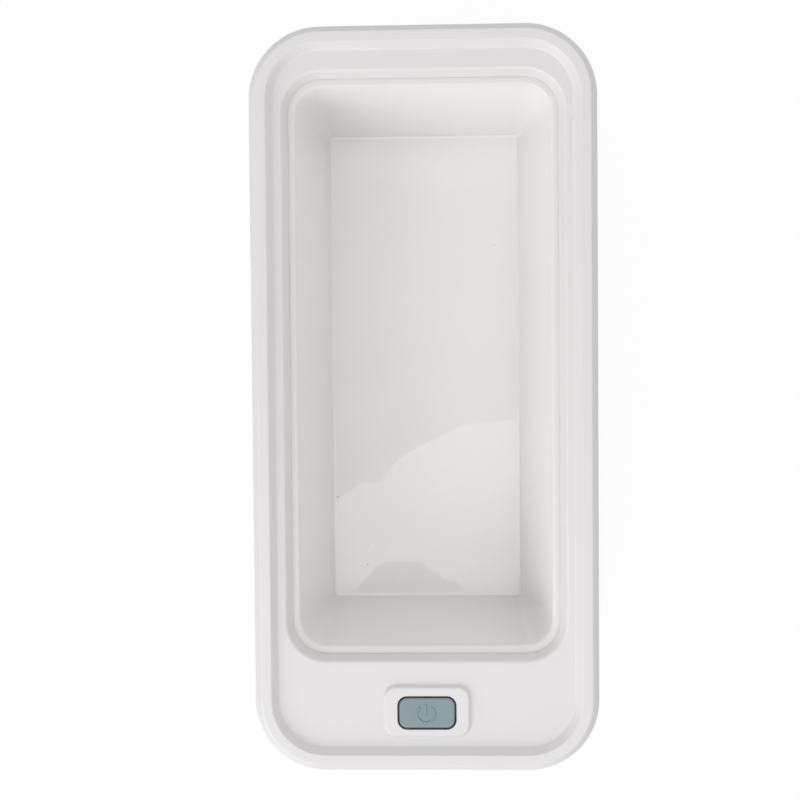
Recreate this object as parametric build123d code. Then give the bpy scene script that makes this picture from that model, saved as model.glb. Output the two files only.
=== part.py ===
from build123d import *
import math
import os

# Case, measured over its widest line
case_length = 206.0
case_width = 96.0
case_height = 72.5
corner_radius = 20.0
wall = 2.2
wall_draft = 0.35
parting_height = 22.0
parting_gap = 0.6

# Outer edge of the rim and the steps from the rim down to the tank
edge_width = 1.9
edge_drop = 2.0
edge_inner_round = 0.8
edge_outer_round = 1.2
rim_round = 0.5
ledge_round = 0.6
deck_round = 1.0
rim_width = 4.7
first_slope_run = 1.7
ledge_drop = 2.5
second_slope_run = 1.75
shelf_drop = 3.0
side_margin = 10.4
rear_margin = 13.75
front_margin = 31.95
lip_width = 1.6
lip_gap = 0.2

# Tank
shelf_width = 1.95
shelf_end_width = 2.2
room_under_tank = 20.3
tank_slant = 6.3
tank_wall = 2.0
tank_floor_thickness = 2.2
tank_floor_corner = 1.2
tank_floor_round = 0.8
mouth_round = 1.0
flange_thickness = 2.0
flange_reach = 4.4
gasket_width = 2.0
gasket_play = 0.2
lug_drop = 4.0
lug_thickness = 2.5
lug_radius = 3.1
front_lug_x = 26.0
rear_lug_x = 24.0

# Snap hooks under the ledge that hold the long sides of the flange
hook_width = 8.0
hook_thickness = 1.5
hook_nose = 0.8
hook_spacing = 54.0
hook_play = 0.1
hook_side_play = 0.2

# Button and its plateau
button_margin = 16.15
button_width = 15.4
button_length = 8.4
button_corner = 2.2
button_round = 0.5
button_proud = 0.1
button_gap = 0.5
button_travel = 0.5
button_skin = 1.6
button_flange_reach = 1.5
button_flange_thickness = 1.4
stem_radius = 2.0
stem_length = 1.0
plateau_border = 4.6
plateau_border_long = 3.15
plateau_corner = 3.7
plateau_height = 1.2
plateau_slope_run = 0.75
plateau_round = 0.5
plateau_shift = 0.35
collar_wall = 1.2
collar_depth = 3.0
guide_clearance = 0.3

# Switch behind the button
switch_size = 6.2
switch_height = 3.5
plunger_radius = 1.7
plunger_proud = 1.5
plunger_flange = 0.4
plunger_bevel = 0.2
switch_board_length = 34.0
switch_board_width = 12.0
board_thickness = 1.6
switch_boss_x = 14.0
can_roof = 0.8
can_bevel = 0.4
chamber_play = 0.1
switch_leg_reach = 0.9
switch_leg_spacing = 4.5
switch_leg_width = 0.7
switch_leg_height = 0.6
board_corner = 1.5

# Screws: shank radius, shank length, head radius, head height
case_screw = (1.4, 14.0, 2.8, 2.2)
tank_screw = (1.15, 7.0, 2.2, 1.8)
board_screw = (1.0, 5.0, 2.0, 1.6)
small_screw = (0.85, 4.5, 1.8, 1.4)
shank_clearance = 0.05
hole_clearance = 0.25
well_clearance = 0.5
boss_wall = 1.35
tip_room = 0.5
head_bevel = 0.5
drive_slot = 0.6
drive_depth = 1.2

# Screw bosses of the case
case_boss_radius = 3.4
case_post_radius = 4.0
corner_boss_reach = 12.0
side_boss_inset = 8.2
case_boss_height = 30.0
head_seat_depth = 4.0
web_thickness = 1.8

# Base cover
base_wall = 2.2
base_floor = 2.5
base_draft = 1.5
base_edge_round = 3.0
tongue_height = 3.0
tongue_width = 1.5
tongue_root = 4.0
tongue_clearance = 0.15
foot_radius = 7.0
foot_proud = 2.0
foot_recess = 1.5
foot_side_inset = 16.0
foot_end_inset = 25.0
foot_clearance = 0.1
pad_wall = 2.0
vent_width = 2.0
vent_length = 30.0
vent_pitch = 6.0
vent_count = 7
rib_thickness = 1.2
rib_depth = 2.0
rib_pitch = 27.0

# How far a cut runs past its face, how deep a form is rooted in its wall, and a hair for picking edges
cut_past = 1.0
root_depth = 0.5
hair = 0.05

# Driver board and what it carries
driver_width = 66.0
driver_length = 58.0
driver_margin = 15.0
driver_standoff = 4.5
standoff_radius = 3.0
standoff_edge_x = 4.0
standoff_edge_y = 4.0
core_length = 20.0
core_depth = 5.0
core_leg = 3.0
core_window = 2.4
core_yoke = 1.6
core_seat = 1.2
coil_build = 2.9
coil_play = 0.2
coil_fit = 0.1
coil_corner = 1.6
bobbin_wall = 0.8
bobbin_flange = 1.0
bobbin_foot = 2.0
choke_radius = 6.0
choke_height = 10.0
choke_waist = 3.4
choke_disc = 2.0
choke_inset = 0.5
bulk_radius = 5.0
bulk_height = 16.0
filter_radius = 3.2
filter_height = 11.0
can_neck_height = 2.2
can_groove = 0.45
can_edge = 0.6
film_size = (6.0, 13.0, 11.0)
film_corner = 0.6
sink_width = 24.0
sink_base = 2.5
sink_fin_length = 5.5
sink_fin = 1.2
sink_fin_count = 6
sink_height = 20.0
transistor_width = 10.0
transistor_height = 15.0
transistor_pitch = 12.0
transistor_lift = 4.0
transistor_hole = 12.0
tab_thickness = 1.3
package_height = 9.0
package_depth = 4.4
leg_pitch = 2.54
leg_width = 0.8
leg_thickness = 0.5
leg_setback = 2.3
chip_size = (4.0, 5.0, 1.5)
chip_lift = 0.1
chip_leg_pitch = 1.27
chip_leg_reach = 1.0
chip_leg_width = 0.4
chip_leg_height = 0.5
header_size = (7.0, 5.0, 6.0)
header_bevel = 0.8
header_edge = 1.0
lead_radius = 0.8
lead_spacing = 2.5

# Rows of the driver board, from its front edge
can_row = 11.5
sink_row = 13.5
film_row = 32.0
transformer_row = 36.0
choke_row = 38.0
chip_row = 46.0
can_spacing = 2.0
switch_header_x = 4.0

# Transducer under the tank floor
plate_radius = 25.0
plate_thickness = 2.0
piezo_radius = 17.5
piezo_thickness = 2.6
plate_rim_thickness = 0.8
plate_border = 1.5
plate_bevel = 0.4
piezo_bevel = 0.3
joint_radius = 1.6
joint_height = 0.8
joint_spacing = 12.0

# Power inlet in the rear wall
inlet_height = 13.0
inlet_width = 9.0
inlet_tall = 10.0
inlet_depth = 13.0
inlet_bore = 3.15
inlet_bore_depth = 9.5
inlet_pin_radius = 1.0
inlet_pin_length = 8.5
inlet_pin_root = 2.0
inlet_pin_bevel = 0.4
inlet_bevel = 1.0
inlet_nose_radius = 4.2
inlet_nose_clearance = 0.2
inlet_recess_radius = 7.0
inlet_recess_depth = 1.0
inlet_wall_clearance = 0.6
inlet_board_width = 18.0
inlet_board_length = 19.0
inlet_board_setback = 1.0
inlet_screw_edge = 0.5
inlet_screw_setback = 0.8
inlet_header_setback = 0.3

# Runs of the leads
lead_lift = 1.5
lead_sag = 3.0
lead_first_run = 10.0
lead_second_run = 22.0
lead_lane_gap = 5.0
lead_drift = 0.8
lead_last_run = 9.0
lead_turn_run = 20.0
lead_stagger = 1.0

# Heights worked out from the sizes above
rim_z = case_height
ledge_z = rim_z - ledge_drop
shelf_z = ledge_z - shelf_drop
roof_z = ledge_z - wall
lip_z = shelf_z + lip_gap
base_floor_z = foot_proud + base_floor
tank_under_z = base_floor_z + room_under_tank
tank_floor_z = tank_under_z + tank_floor_thickness
tank_depth = shelf_z - tank_floor_z
flange_z = shelf_z - flange_thickness
lug_z = shelf_z - lug_drop
housing_low_z = parting_height + parting_gap
tongue_top_z = parting_height + tongue_height
web_low_z = tongue_top_z + parting_gap
case_boss_top_z = parting_height + case_boss_height
case_seat_z = parting_height - head_seat_depth
driver_z = base_floor_z + driver_standoff + board_thickness
plateau_z = ledge_z + plateau_height
button_top_z = plateau_z + button_proud
button_flange_z = roof_z - button_flange_thickness
plunger_top_z = button_flange_z - stem_length
switch_top_z = plunger_top_z - plunger_proud
switch_board_z = switch_top_z - switch_height
transducer_z = tank_under_z - plate_thickness
piezo_low_z = transducer_z - piezo_thickness

# Plan positions worked out from the sizes above
top_half_width = case_width / 2 - wall_draft
top_half_length = case_length / 2 - wall_draft
well_half_width = top_half_width - side_margin
well_front = front_margin - top_half_length
well_rear = top_half_length - rear_margin
well_middle = (well_front + well_rear) / 2
mouth_corner = tank_floor_corner + tank_slant
well_corner = mouth_corner + shelf_width
button_y = button_margin - top_half_length
tank_boss_radius = tank_screw[0] + boss_wall
front_lug_y = well_front - flange_reach - well_clearance - tank_boss_radius
rear_lug_y = well_rear + flange_reach + well_clearance + tank_boss_radius
driver_front = driver_margin - case_length / 2
driver_rear = driver_front + driver_length
side_boss_x = case_width / 2 - side_boss_inset
corner_offset = corner_boss_reach * math.sqrt(0.5)
corner_boss_x = case_width / 2 - corner_radius + corner_offset
corner_boss_y = case_length / 2 - corner_radius + corner_offset
case_boss_places = [
    (corner_boss_x, corner_boss_y),
    (-corner_boss_x, corner_boss_y),
    (-corner_boss_x, -corner_boss_y),
    (corner_boss_x, -corner_boss_y),
    (side_boss_x, well_middle),
    (-side_boss_x, well_middle),
]
lug_places = [
    (front_lug_x, front_lug_y),
    (-front_lug_x, front_lug_y),
    (rear_lug_x, rear_lug_y),
    (-rear_lug_x, rear_lug_y),
]
foot_x = case_width / 2 - foot_side_inset
foot_y = case_length / 2 - foot_end_inset
standoff_x = driver_width / 2 - standoff_edge_x
standoff_places = [
    (side * standoff_x, y)
    for side in (-1, 1)
    for y in (driver_front + standoff_edge_y, driver_rear - standoff_edge_y)
]


def plan(half_width, front, rear, radius, z):
    """A rounded rectangle, level, at height z."""
    return Pos(0, (front + rear) / 2, z) * RectangleRounded(2 * half_width, rear - front, radius)


def case_plan(inset, z):
    """The case's outline at the height of the rim, drawn in by inset."""
    half_length = top_half_length - inset
    return plan(top_half_width - inset, -half_length, half_length, corner_radius - wall_draft - inset, z)


def parting_plan(inset, z):
    """The case's widest outline, at the parting line, drawn in by inset."""
    half_length = case_length / 2 - inset
    return plan(case_width / 2 - inset, -half_length, half_length, corner_radius - inset, z)


def well_plan(outset, z):
    """The opening where the housing meets the tank's shelf, grown by outset."""
    front = well_front - outset
    rear = well_rear + outset
    return plan(well_half_width + outset, front, rear, well_corner + outset, z)


def mouth_plan(outset, z):
    """The tank's mouth, inside its shelf, grown by outset."""
    half_width = well_half_width - shelf_width + outset
    front = well_front + shelf_end_width - outset
    rear = well_rear - shelf_end_width + outset
    return plan(half_width, front, rear, mouth_corner + outset, z)


def drafted(sketch, height, shrink):
    """Extrude by height, drawing every side in by shrink on the way."""
    angle = math.degrees(math.atan(shrink / abs(height)))
    return extrude(sketch, amount=height, taper=angle)


def block(x, y, z):
    """A box between two corners, given as (low, high) on each axis."""
    centre = Pos((x[0] + x[1]) / 2, (y[0] + y[1]) / 2, (z[0] + z[1]) / 2)
    return centre * Box(x[1] - x[0], y[1] - y[0], z[1] - z[0])


def rod(radius, x, y, z_low, z_high):
    """An upright cylinder."""
    return Pos(x, y, (z_low + z_high) / 2) * Cylinder(radius, z_high - z_low)


def loop_at(part, z, inset):
    """The part's edges that lie level at z, inside the rim's outline drawn in by inset."""
    picked = []
    for edge in part.edges():
        box = edge.bounding_box()
        level = abs(box.min.Z - z) < hair and abs(box.max.Z - z) < hair
        within_x = max(abs(box.min.X), abs(box.max.X)) < top_half_width - inset
        within_y = max(abs(box.min.Y), abs(box.max.Y)) < top_half_length - inset
        if level and within_x and within_y:
            picked.append(edge)
    return picked


def web(start, end, z_low, z_high):
    """An upright rib between two plan points."""
    run = math.hypot(end[0] - start[0], end[1] - start[1])
    angle = math.degrees(math.atan2(end[1] - start[1], end[0] - start[0]))
    middle = ((start[0] + end[0]) / 2, (start[1] + end[1]) / 2)
    place = Pos(middle[0], middle[1], (z_low + z_high) / 2) * Rot(0, 0, angle)
    return place * Box(run, web_thickness, z_high - z_low)


def boss_webs(z_low, z_high, reach):
    """Ribs that tie the case's screw bosses to the wall beside them."""
    ribs = []
    for x, y in case_boss_places:
        if abs(y) == corner_boss_y:
            step = reach * math.sqrt(0.5)
            end = (x + math.copysign(step, x), y + math.copysign(step, y))
        else:
            end = (x + math.copysign(reach, x), y)
        ribs.append(web((x, y), end, z_low, z_high))
    return ribs


def screws(size, places, seat_z, upward, crossed=False):
    """One pan-head screw for each place, its head's flat face at seat_z, with a cross in the head if asked."""
    radius, length, head_radius, head_height = size
    toward = 1 if upward else -1
    made = []
    for x, y in places:
        ends = sorted((seat_z, seat_z + toward * length))
        head_ends = sorted((seat_z, seat_z - toward * head_height))
        head = rod(head_radius, x, y, *head_ends)
        crown = head.faces().sort_by(Axis.Z)[0 if upward else -1]
        screw = rod(radius, x, y, *ends) + chamfer(crown.edges(), head_bevel)
        if crossed:
            cross = Box(head_radius, drive_slot, 2 * drive_depth) + Box(drive_slot, head_radius, 2 * drive_depth)
            screw -= Pos(x, y, seat_z - toward * head_height) * cross
        made.append(screw)
    return Compound(children=[piece.solid() for piece in made])


def make_upper_housing():
    """The outer shell: side walls, rim, ledge, deck, button plateau and everything that hangs below them."""
    shell = drafted(parting_plan(0, housing_low_z), rim_z - housing_low_z, wall_draft)
    top = shell.faces().sort_by(Axis.Z)[-1]
    shell = chamfer(top.edges(), length=edge_width, length2=edge_drop, reference=top)
    shell = fillet(loop_at(shell, rim_z, edge_width / 2), edge_inner_round)
    shell = fillet(loop_at(shell, rim_z - edge_drop, -wall), edge_outer_round)
    shell -= drafted(case_plan(rim_width, rim_z), -ledge_drop, first_slope_run)
    shell = fillet(loop_at(shell, rim_z, rim_width - hair), rim_round)
    shell = fillet(loop_at(shell, ledge_z, rim_width), ledge_round)
    shell -= drafted(well_plan(second_slope_run, ledge_z), -shelf_drop, second_slope_run)
    shell = fillet(loop_at(shell, ledge_z, side_margin - second_slope_run - hair), deck_round)

    half_width = button_width / 2 + plateau_border
    half_length = button_length / 2 + plateau_border_long
    middle = button_y + plateau_shift
    plateau = plan(half_width, middle - half_length, middle + half_length, plateau_corner, ledge_z)
    plateau = drafted(plateau, plateau_height, plateau_slope_run)
    plateau = fillet(plateau.faces().sort_by(Axis.Z)[-1].edges(), plateau_round)
    shell += plateau

    room = drafted(parting_plan(wall, housing_low_z), roof_z - housing_low_z, wall_draft)
    room -= extrude(well_plan(lip_width, lip_z), amount=roof_z - lip_z)
    shell -= room
    shell -= extrude(well_plan(0, housing_low_z), amount=lip_z - housing_low_z)
    slope_wall = wall * math.hypot(first_slope_run, ledge_drop) / ledge_drop
    channel_height = rim_z - wall - roof_z
    channel_run = first_slope_run * channel_height / ledge_drop
    channel_foot = rim_width + first_slope_run * (rim_z - roof_z) / ledge_drop - slope_wall
    channel = extrude(case_plan(wall, roof_z), amount=channel_height)
    channel -= drafted(case_plan(channel_foot, roof_z), channel_height, -channel_run)
    shell -= channel

    flange_x = button_width / 2 + button_flange_reach + guide_clearance
    flange_y = button_length / 2 + button_flange_reach + guide_clearance
    collar_corner = button_corner + button_flange_reach + guide_clearance
    for outset, sign in ((collar_wall, 1), (0, -1)):
        front = button_y - flange_y - outset
        rear = button_y + flange_y + outset
        ring = plan(flange_x + outset, front, rear, collar_corner + outset, roof_z - collar_depth)
        ring = extrude(ring, amount=collar_depth)
        shell = shell + ring if sign > 0 else shell - ring
    hole_x = button_width / 2 + button_gap
    hole_y = button_length / 2 + button_gap
    low = roof_z - cut_past
    hole = plan(hole_x, button_y - hole_y, button_y + hole_y, button_corner + button_gap, low)
    shell -= extrude(hole, amount=plateau_z + cut_past - low)

    for side in (-1, 1):
        boss_radius = small_screw[0] + boss_wall
        shell += rod(boss_radius, side * switch_boss_x, button_y, switch_board_z, roof_z + wall / 2)
        pilot = small_screw[0] + shank_clearance
        pilot_top = switch_board_z - board_thickness + small_screw[1] + tip_room
        shell -= rod(pilot, side * switch_boss_x, button_y, switch_board_z - cut_past, pilot_top)

    for x, y in lug_places:
        shell += rod(tank_boss_radius, x, y, lug_z, roof_z + wall / 2)
    for x, y in lug_places:
        pilot_top = lug_z - lug_thickness + tank_screw[1] + tip_room
        shell -= rod(tank_screw[0] + shank_clearance, x, y, lug_z - cut_past, pilot_top)

    hook_face = well_half_width + flange_reach + hook_side_play
    catch_z = flange_z - hook_play
    toe_z = catch_z - 2 * hook_nose
    hook_back = hook_face + hook_thickness
    for side in (-1, 1):
        for step in (-1, 0, 1):
            y = well_middle + step * hook_spacing
            outline = [
                (hook_face, rim_z - wall),
                (hook_face, catch_z),
                (hook_face - hook_nose, catch_z),
                (hook_face, toe_z),
                (hook_back, toe_z),
                (hook_back, rim_z - wall),
            ]
            profile = make_face(Polyline(*[(side * px, pz) for px, pz in outline], close=True))
            cut = Plane(origin=(0, y, 0), x_dir=(1, 0, 0), z_dir=(0, -1, 0))
            shell += extrude(cut * profile, amount=hook_width / 2, both=True)

    for x, y in case_boss_places:
        shell += rod(case_boss_radius, x, y, parting_height, case_boss_top_z)
    gap_to_wall = corner_radius - wall / 2 - corner_boss_reach
    for rib in boss_webs(web_low_z, case_boss_top_z, gap_to_wall):
        shell += rib
    for x, y in case_boss_places:
        pilot = case_screw[0] + shank_clearance
        shell -= rod(pilot, x, y, parting_height - cut_past, case_seat_z + case_screw[1] + tip_room)

    rib_face = top_half_width - wall - rib_depth
    for side in (-1, 1):
        for step in (-1.5, -0.5, 0.5, 1.5):
            y = well_middle + step * rib_pitch
            x = sorted((side * rib_face, side * (top_half_width - wall / 2)))
            shell += block(x, (y - rib_thickness / 2, y + rib_thickness / 2), (web_low_z, roof_z + wall / 2))
    return shell


def make_tank():
    """The one-piece tank: flange, slanting walls, flat floor and four screw lugs."""
    depth = tank_depth + tank_floor_thickness
    slant = tank_slant / tank_depth
    outer = drafted(mouth_plan(tank_wall, shelf_z), -depth, slant * depth)
    tank = outer + extrude(well_plan(flange_reach, flange_z), amount=flange_thickness)
    for x, y in lug_places:
        side = math.copysign(1, y)
        mouth_y = (well_rear if side > 0 else -well_front) - shelf_end_width
        root = side * (mouth_y + tank_wall / 2 - slant * lug_drop)
        lug_y = sorted((root, y))
        lug = block((x - lug_radius, x + lug_radius), lug_y, (lug_z - lug_thickness, lug_z))
        lug += rod(lug_radius, x, y, lug_z - lug_thickness, lug_z)
        hole = tank_screw[0] + hole_clearance
        lug -= rod(hole, x, y, lug_z - lug_thickness - cut_past, lug_z + cut_past)
        rib_y = sorted((root, y - side * (tank_boss_radius + well_clearance)))
        lug += block((x - web_thickness / 2, x + web_thickness / 2), rib_y, (lug_z, flange_z))
        tank += lug
    hollow = drafted(mouth_plan(0, shelf_z), -tank_depth, tank_slant)
    floor_edges = hollow.faces().sort_by(Axis.Z)[0].edges()
    hollow = fillet(floor_edges, min(tank_floor_round, 0.9 * tank_floor_corner))
    tank -= hollow
    mouth_edges = loop_at(tank, shelf_z, side_margin + 0.5 * shelf_width)
    return fillet(mouth_edges, mouth_round)


def make_tank_gasket():
    """Soft ring squeezed between the tank's flange and the underside of the ledge."""
    inner = lip_width + gasket_play
    ring = extrude(well_plan(inner + gasket_width, shelf_z), amount=roof_z - shelf_z)
    return ring - extrude(well_plan(inner, shelf_z), amount=roof_z - shelf_z)


def make_base_cover():
    """The tray that closes the case from below."""
    height = parting_height - foot_proud
    tray = drafted(parting_plan(0, parting_height), -height, base_draft)
    tray = fillet(tray.faces().sort_by(Axis.Z)[0].edges(), base_edge_round)
    tray -= drafted(parting_plan(base_wall, parting_height), base_floor_z - parting_height, base_draft)
    tongue_outer = wall + tongue_clearance
    tongue_inner = tongue_outer + tongue_width
    root_low_z = parting_height - tongue_root
    tongue = extrude(parting_plan(tongue_outer, parting_height), amount=tongue_height)
    tongue += extrude(parting_plan(base_wall / 2, root_low_z), amount=tongue_root)
    tongue -= extrude(parting_plan(tongue_inner, root_low_z), amount=tongue_root + tongue_height)
    tray += tongue

    for x, y in case_boss_places:
        tray += rod(case_post_radius, x, y, foot_proud + base_floor / 2, parting_height)
    gap_to_wall = corner_radius - wall - corner_boss_reach
    for rib in boss_webs(base_floor_z - root_depth, root_low_z, gap_to_wall):
        tray += rib
    for side_x in (-1, 1):
        for side_y in (-1, 1):
            pad_top = foot_proud + foot_recess + pad_wall
            pad_low = base_floor_z - root_depth
            tray += rod(foot_radius + pad_wall, side_x * foot_x, side_y * foot_y, pad_low, pad_top)
    for x, y in standoff_places:
        tray += rod(standoff_radius, x, y, base_floor_z - root_depth, base_floor_z + driver_standoff)
    for x, y in inlet_screw_places():
        tray += rod(small_screw[0] + boss_wall, x, y, base_floor_z - root_depth, inlet_board_low_z())

    for x, y in case_boss_places:
        tray -= rod(case_screw[2] + well_clearance, x, y, foot_proud - cut_past, case_seat_z)
        hole = case_screw[0] + hole_clearance
        tray -= rod(hole, x, y, case_seat_z - cut_past, parting_height + cut_past)
    for side_x in (-1, 1):
        for side_y in (-1, 1):
            recess = foot_radius + foot_clearance
            recess_top = foot_proud + foot_recess
            tray -= rod(recess, side_x * foot_x, side_y * foot_y, foot_proud - cut_past, recess_top)
    for x, y in standoff_places:
        pilot_low = driver_z - board_screw[1] - tip_room
        pilot_high = base_floor_z + driver_standoff + cut_past
        tray -= rod(board_screw[0] + shank_clearance, x, y, pilot_low, pilot_high)
    for x, y in inlet_screw_places():
        pilot_low = inlet_board_low_z() + board_thickness - small_screw[1] - tip_room
        pilot_high = inlet_board_low_z() + cut_past
        tray -= rod(small_screw[0] + shank_clearance, x, y, pilot_low, pilot_high)
    for step in range(vent_count):
        y = well_middle + (step - (vent_count - 1) / 2) * vent_pitch
        slot = Pos(0, y, foot_proud - cut_past) * SlotOverall(vent_length, vent_width)
        tray -= extrude(slot, amount=base_floor + 2 * cut_past)

    outside = case_length / 2 + cut_past
    hole = Plane(origin=(0, outside, inlet_height), z_dir=(0, -1, 0))
    through = base_wall + base_draft + 2 * cut_past
    tray -= extrude(hole * Circle(inlet_nose_radius + inlet_nose_clearance), amount=through)
    return tray - extrude(hole * Circle(inlet_recess_radius), amount=outside - inlet_face_y())


def inlet_face_y():
    """Where the floor of the round recess about the inlet lies."""
    drawn_in = base_draft * (parting_height - inlet_height) / (parting_height - foot_proud)
    return case_length / 2 - drawn_in - inlet_recess_depth


def inlet_front_y():
    """The front of the inlet's square body, clear of the slanting wall."""
    drawn_in = base_draft * (parting_height - inlet_height) / (parting_height - foot_proud)
    return case_length / 2 - drawn_in - base_wall - inlet_wall_clearance


def inlet_board_low_z():
    """The underside of the inlet's board."""
    return inlet_height - inlet_tall / 2 - board_thickness


def inlet_board_span():
    """The inlet board's (front, rear) along the case."""
    rear = inlet_front_y() - inlet_board_setback
    return rear - inlet_board_length, rear


def inlet_screw_places():
    """The two screws in front of the inlet."""
    x = inlet_board_width / 2 - small_screw[2] - inlet_screw_edge
    y = inlet_board_span()[0] + small_screw[2] + inlet_screw_setback
    return [(-x, y), (x, y)]


def make_foot(side_x, side_y):
    """A round rubber foot seated in its recess, domed at the edge."""
    foot = rod(foot_radius, side_x * foot_x, side_y * foot_y, 0, foot_proud + foot_recess)
    return chamfer(foot.faces().sort_by(Axis.Z)[0].edges(), foot_proud / 3)


def make_power_button():
    """The moulded cap: a hollow key with a retaining flange and a stem down to the switch."""
    half_x = button_width / 2
    half_y = button_length / 2
    reach = button_flange_reach
    front = button_y - half_y
    rear = button_y + half_y
    cap = extrude(plan(half_x, front, rear, button_corner, roof_z), amount=button_top_z - roof_z)
    cap = fillet(cap.faces().sort_by(Axis.Z)[-1].edges(), button_round)
    flange = plan(half_x + reach, front - reach, rear + reach, button_corner + reach, button_flange_z)
    cap += extrude(flange, amount=button_flange_thickness)
    skin = button_skin
    inner = plan(half_x - skin, front + skin, rear - skin, button_corner - skin / 2, button_flange_z)
    cap -= extrude(inner, amount=button_top_z - skin - button_flange_z)
    cap += rod(stem_radius, 0, button_y, plunger_top_z, button_top_z - skin / 2)
    for side in (-1, 1):
        x = sorted((side * (stem_radius - root_depth), side * (half_x - skin / 2)))
        y = (button_y - rib_thickness / 2, button_y + rib_thickness / 2)
        cap += block(x, y, (button_flange_z, button_top_z - skin / 2))
    return cap


def plunger_levels():
    """Heights of the plunger's retaining flange: underside and top."""
    flange_top = switch_top_z - can_roof
    return flange_top - plunger_flange, flange_top


def make_switch_plunger():
    """The moving pin of the push switch, kept in by its foot."""
    low, high = plunger_levels()
    pin = rod(plunger_radius, 0, button_y, low, plunger_top_z)
    pin = chamfer(pin.faces().sort_by(Axis.Z)[-1].edges(), plunger_bevel)
    return pin + rod(plunger_radius + plunger_flange, 0, button_y, low, high)


def make_switch_body():
    """The push switch's square can with its four legs, open inside for the plunger's travel."""
    half = switch_size / 2
    body = block((-half, half), (button_y - half, button_y + half), (switch_board_z, switch_top_z))
    body = chamfer(body.edges().filter_by(Axis.Z), can_bevel)
    low, high = plunger_levels()
    body -= rod(plunger_radius + shank_clearance, 0, button_y, high - hair, switch_top_z + cut_past)
    chamber = plunger_radius + plunger_flange + chamber_play
    body -= rod(chamber, 0, button_y, low - button_travel - chamber_play, high)
    for side_x in (-1, 1):
        for side_y in (-1, 1):
            x = sorted((side_x * (half - root_depth), side_x * (half + switch_leg_reach)))
            y = button_y + side_y * switch_leg_spacing / 2
            leg_y = (y - switch_leg_width / 2, y + switch_leg_width / 2)
            body += block(x, leg_y, (switch_board_z, switch_board_z + switch_leg_height))
    return body


def make_switch_board():
    """The small board that carries the push switch, screwed up against two bosses."""
    half = switch_board_width / 2
    low = switch_board_z - board_thickness
    board = plan(switch_board_length / 2, button_y - half, button_y + half, board_corner, low)
    board = extrude(board, amount=board_thickness)
    for side in (-1, 1):
        hole = small_screw[0] + hole_clearance
        board -= rod(hole, side * switch_boss_x, button_y, low - cut_past, switch_board_z + cut_past)
    return board


def make_driver_board():
    """The board of the ultrasonic driver, on four standoffs."""
    low = driver_z - board_thickness
    board = plan(driver_width / 2, driver_front, driver_rear, board_corner, low)
    board = extrude(board, amount=board_thickness)
    for x, y in standoff_places:
        board -= rod(board_screw[0] + hole_clearance, x, y, low - cut_past, driver_z + cut_past)
    return board


# Places of the parts on the driver board
transformer_place = (-driver_width / 4, driver_front + transformer_row)
choke_place = (driver_width / 8, driver_front + choke_row)
film_place = (driver_width / 3, driver_front + film_row)
chip_place = (driver_width / 3, driver_front + chip_row)
bulk_place = (driver_width / 3, driver_front + can_row)
filter_place = (driver_width / 3 - bulk_radius - filter_radius - can_spacing, driver_front + can_row)
sink_place = (-driver_width / 4, driver_front + sink_row)
header_inset = header_size[1] / 2 + header_edge
transducer_header_place = (-driver_width / 8, driver_rear - header_inset)
inlet_header_place = (driver_width / 5, driver_rear - header_inset)
switch_header_place = (switch_header_x, driver_front + header_inset)
core_low_z = driver_z + core_seat
core_height = 2 * core_yoke + 2 * core_window + core_leg
leg_z = core_low_z + core_height / 2


def make_transformer_core():
    """Two E-shaped ferrite halves, seen as one closed frame with a middle leg."""
    x, y = transformer_place
    core = Pos(x, y, leg_z) * Box(core_length, core_depth, core_height)
    window = core_length - 2 * core_leg
    for side in (-1, 1):
        z = leg_z + side * (core_leg + core_window) / 2
        core -= Pos(x, y, z) * Box(window, core_depth + 2 * cut_past, core_window)
    return core


def make_transformer_bobbin():
    """The spool on the middle leg, with two feet that stand on the board."""
    x, y = transformer_place
    window = core_length - 2 * core_leg
    length = window - coil_play
    tube_y = core_depth + 2 * bobbin_wall
    tube_z = core_leg + 2 * bobbin_wall
    flange_y = core_depth + 2 * coil_build + bobbin_wall
    flange_z_size = core_leg + 2 * core_window - coil_play
    spool = Pos(x, y, leg_z) * Box(length, tube_y, tube_z)
    for side in (-1, 1):
        end_x = x + side * (length - bobbin_flange) / 2
        spool += Pos(end_x, y, leg_z) * Box(bobbin_flange, flange_y, flange_z_size)
        for foot in (-1, 1):
            foot_y = y + foot * (flange_y - bobbin_foot) / 2
            foot_mid = Pos(end_x, foot_y, (driver_z + leg_z) / 2)
            spool += foot_mid * Box(bobbin_flange, bobbin_foot, leg_z - driver_z)
    bore = Box(core_length, core_depth + coil_fit, core_leg + coil_fit)
    return spool - Pos(x, y, leg_z) * bore


def make_transformer_winding():
    """Copper wound on the spool between its flanges."""
    x, y = transformer_place
    length = core_length - 2 * core_leg - 2 * coil_play - 2 * bobbin_flange
    tall = core_leg + 2 * core_window - 4 * coil_play
    outer = Rot(0, 90, 0) * RectangleRounded(tall, core_depth + 2 * coil_build, coil_corner)
    coil = extrude(Pos(x - length / 2, y, leg_z) * outer, amount=length, dir=(1, 0, 0))
    bore_y = core_depth + 2 * bobbin_wall + coil_fit
    bore_z = core_leg + 2 * bobbin_wall + coil_fit
    return coil - Pos(x, y, leg_z) * Box(core_length, bore_y, bore_z)


def make_choke_core():
    """A drum core: two discs and a waist."""
    x, y = choke_place
    top = driver_z + choke_height
    core = rod(choke_radius, x, y, driver_z, driver_z + choke_disc)
    core += rod(choke_radius, x, y, top - choke_disc, top)
    return core + rod(choke_waist, x, y, driver_z, top)


def make_choke_winding():
    """Copper wound round the drum core's waist."""
    x, y = choke_place
    low = driver_z + choke_disc + coil_fit
    high = driver_z + choke_height - choke_disc - coil_fit
    coil = rod(choke_radius - choke_inset, x, y, low, high)
    coil = chamfer(coil.edges().filter_by(GeomType.CIRCLE), choke_inset)
    return coil - rod(choke_waist + shank_clearance, x, y, low - cut_past, high + cut_past)


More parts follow.
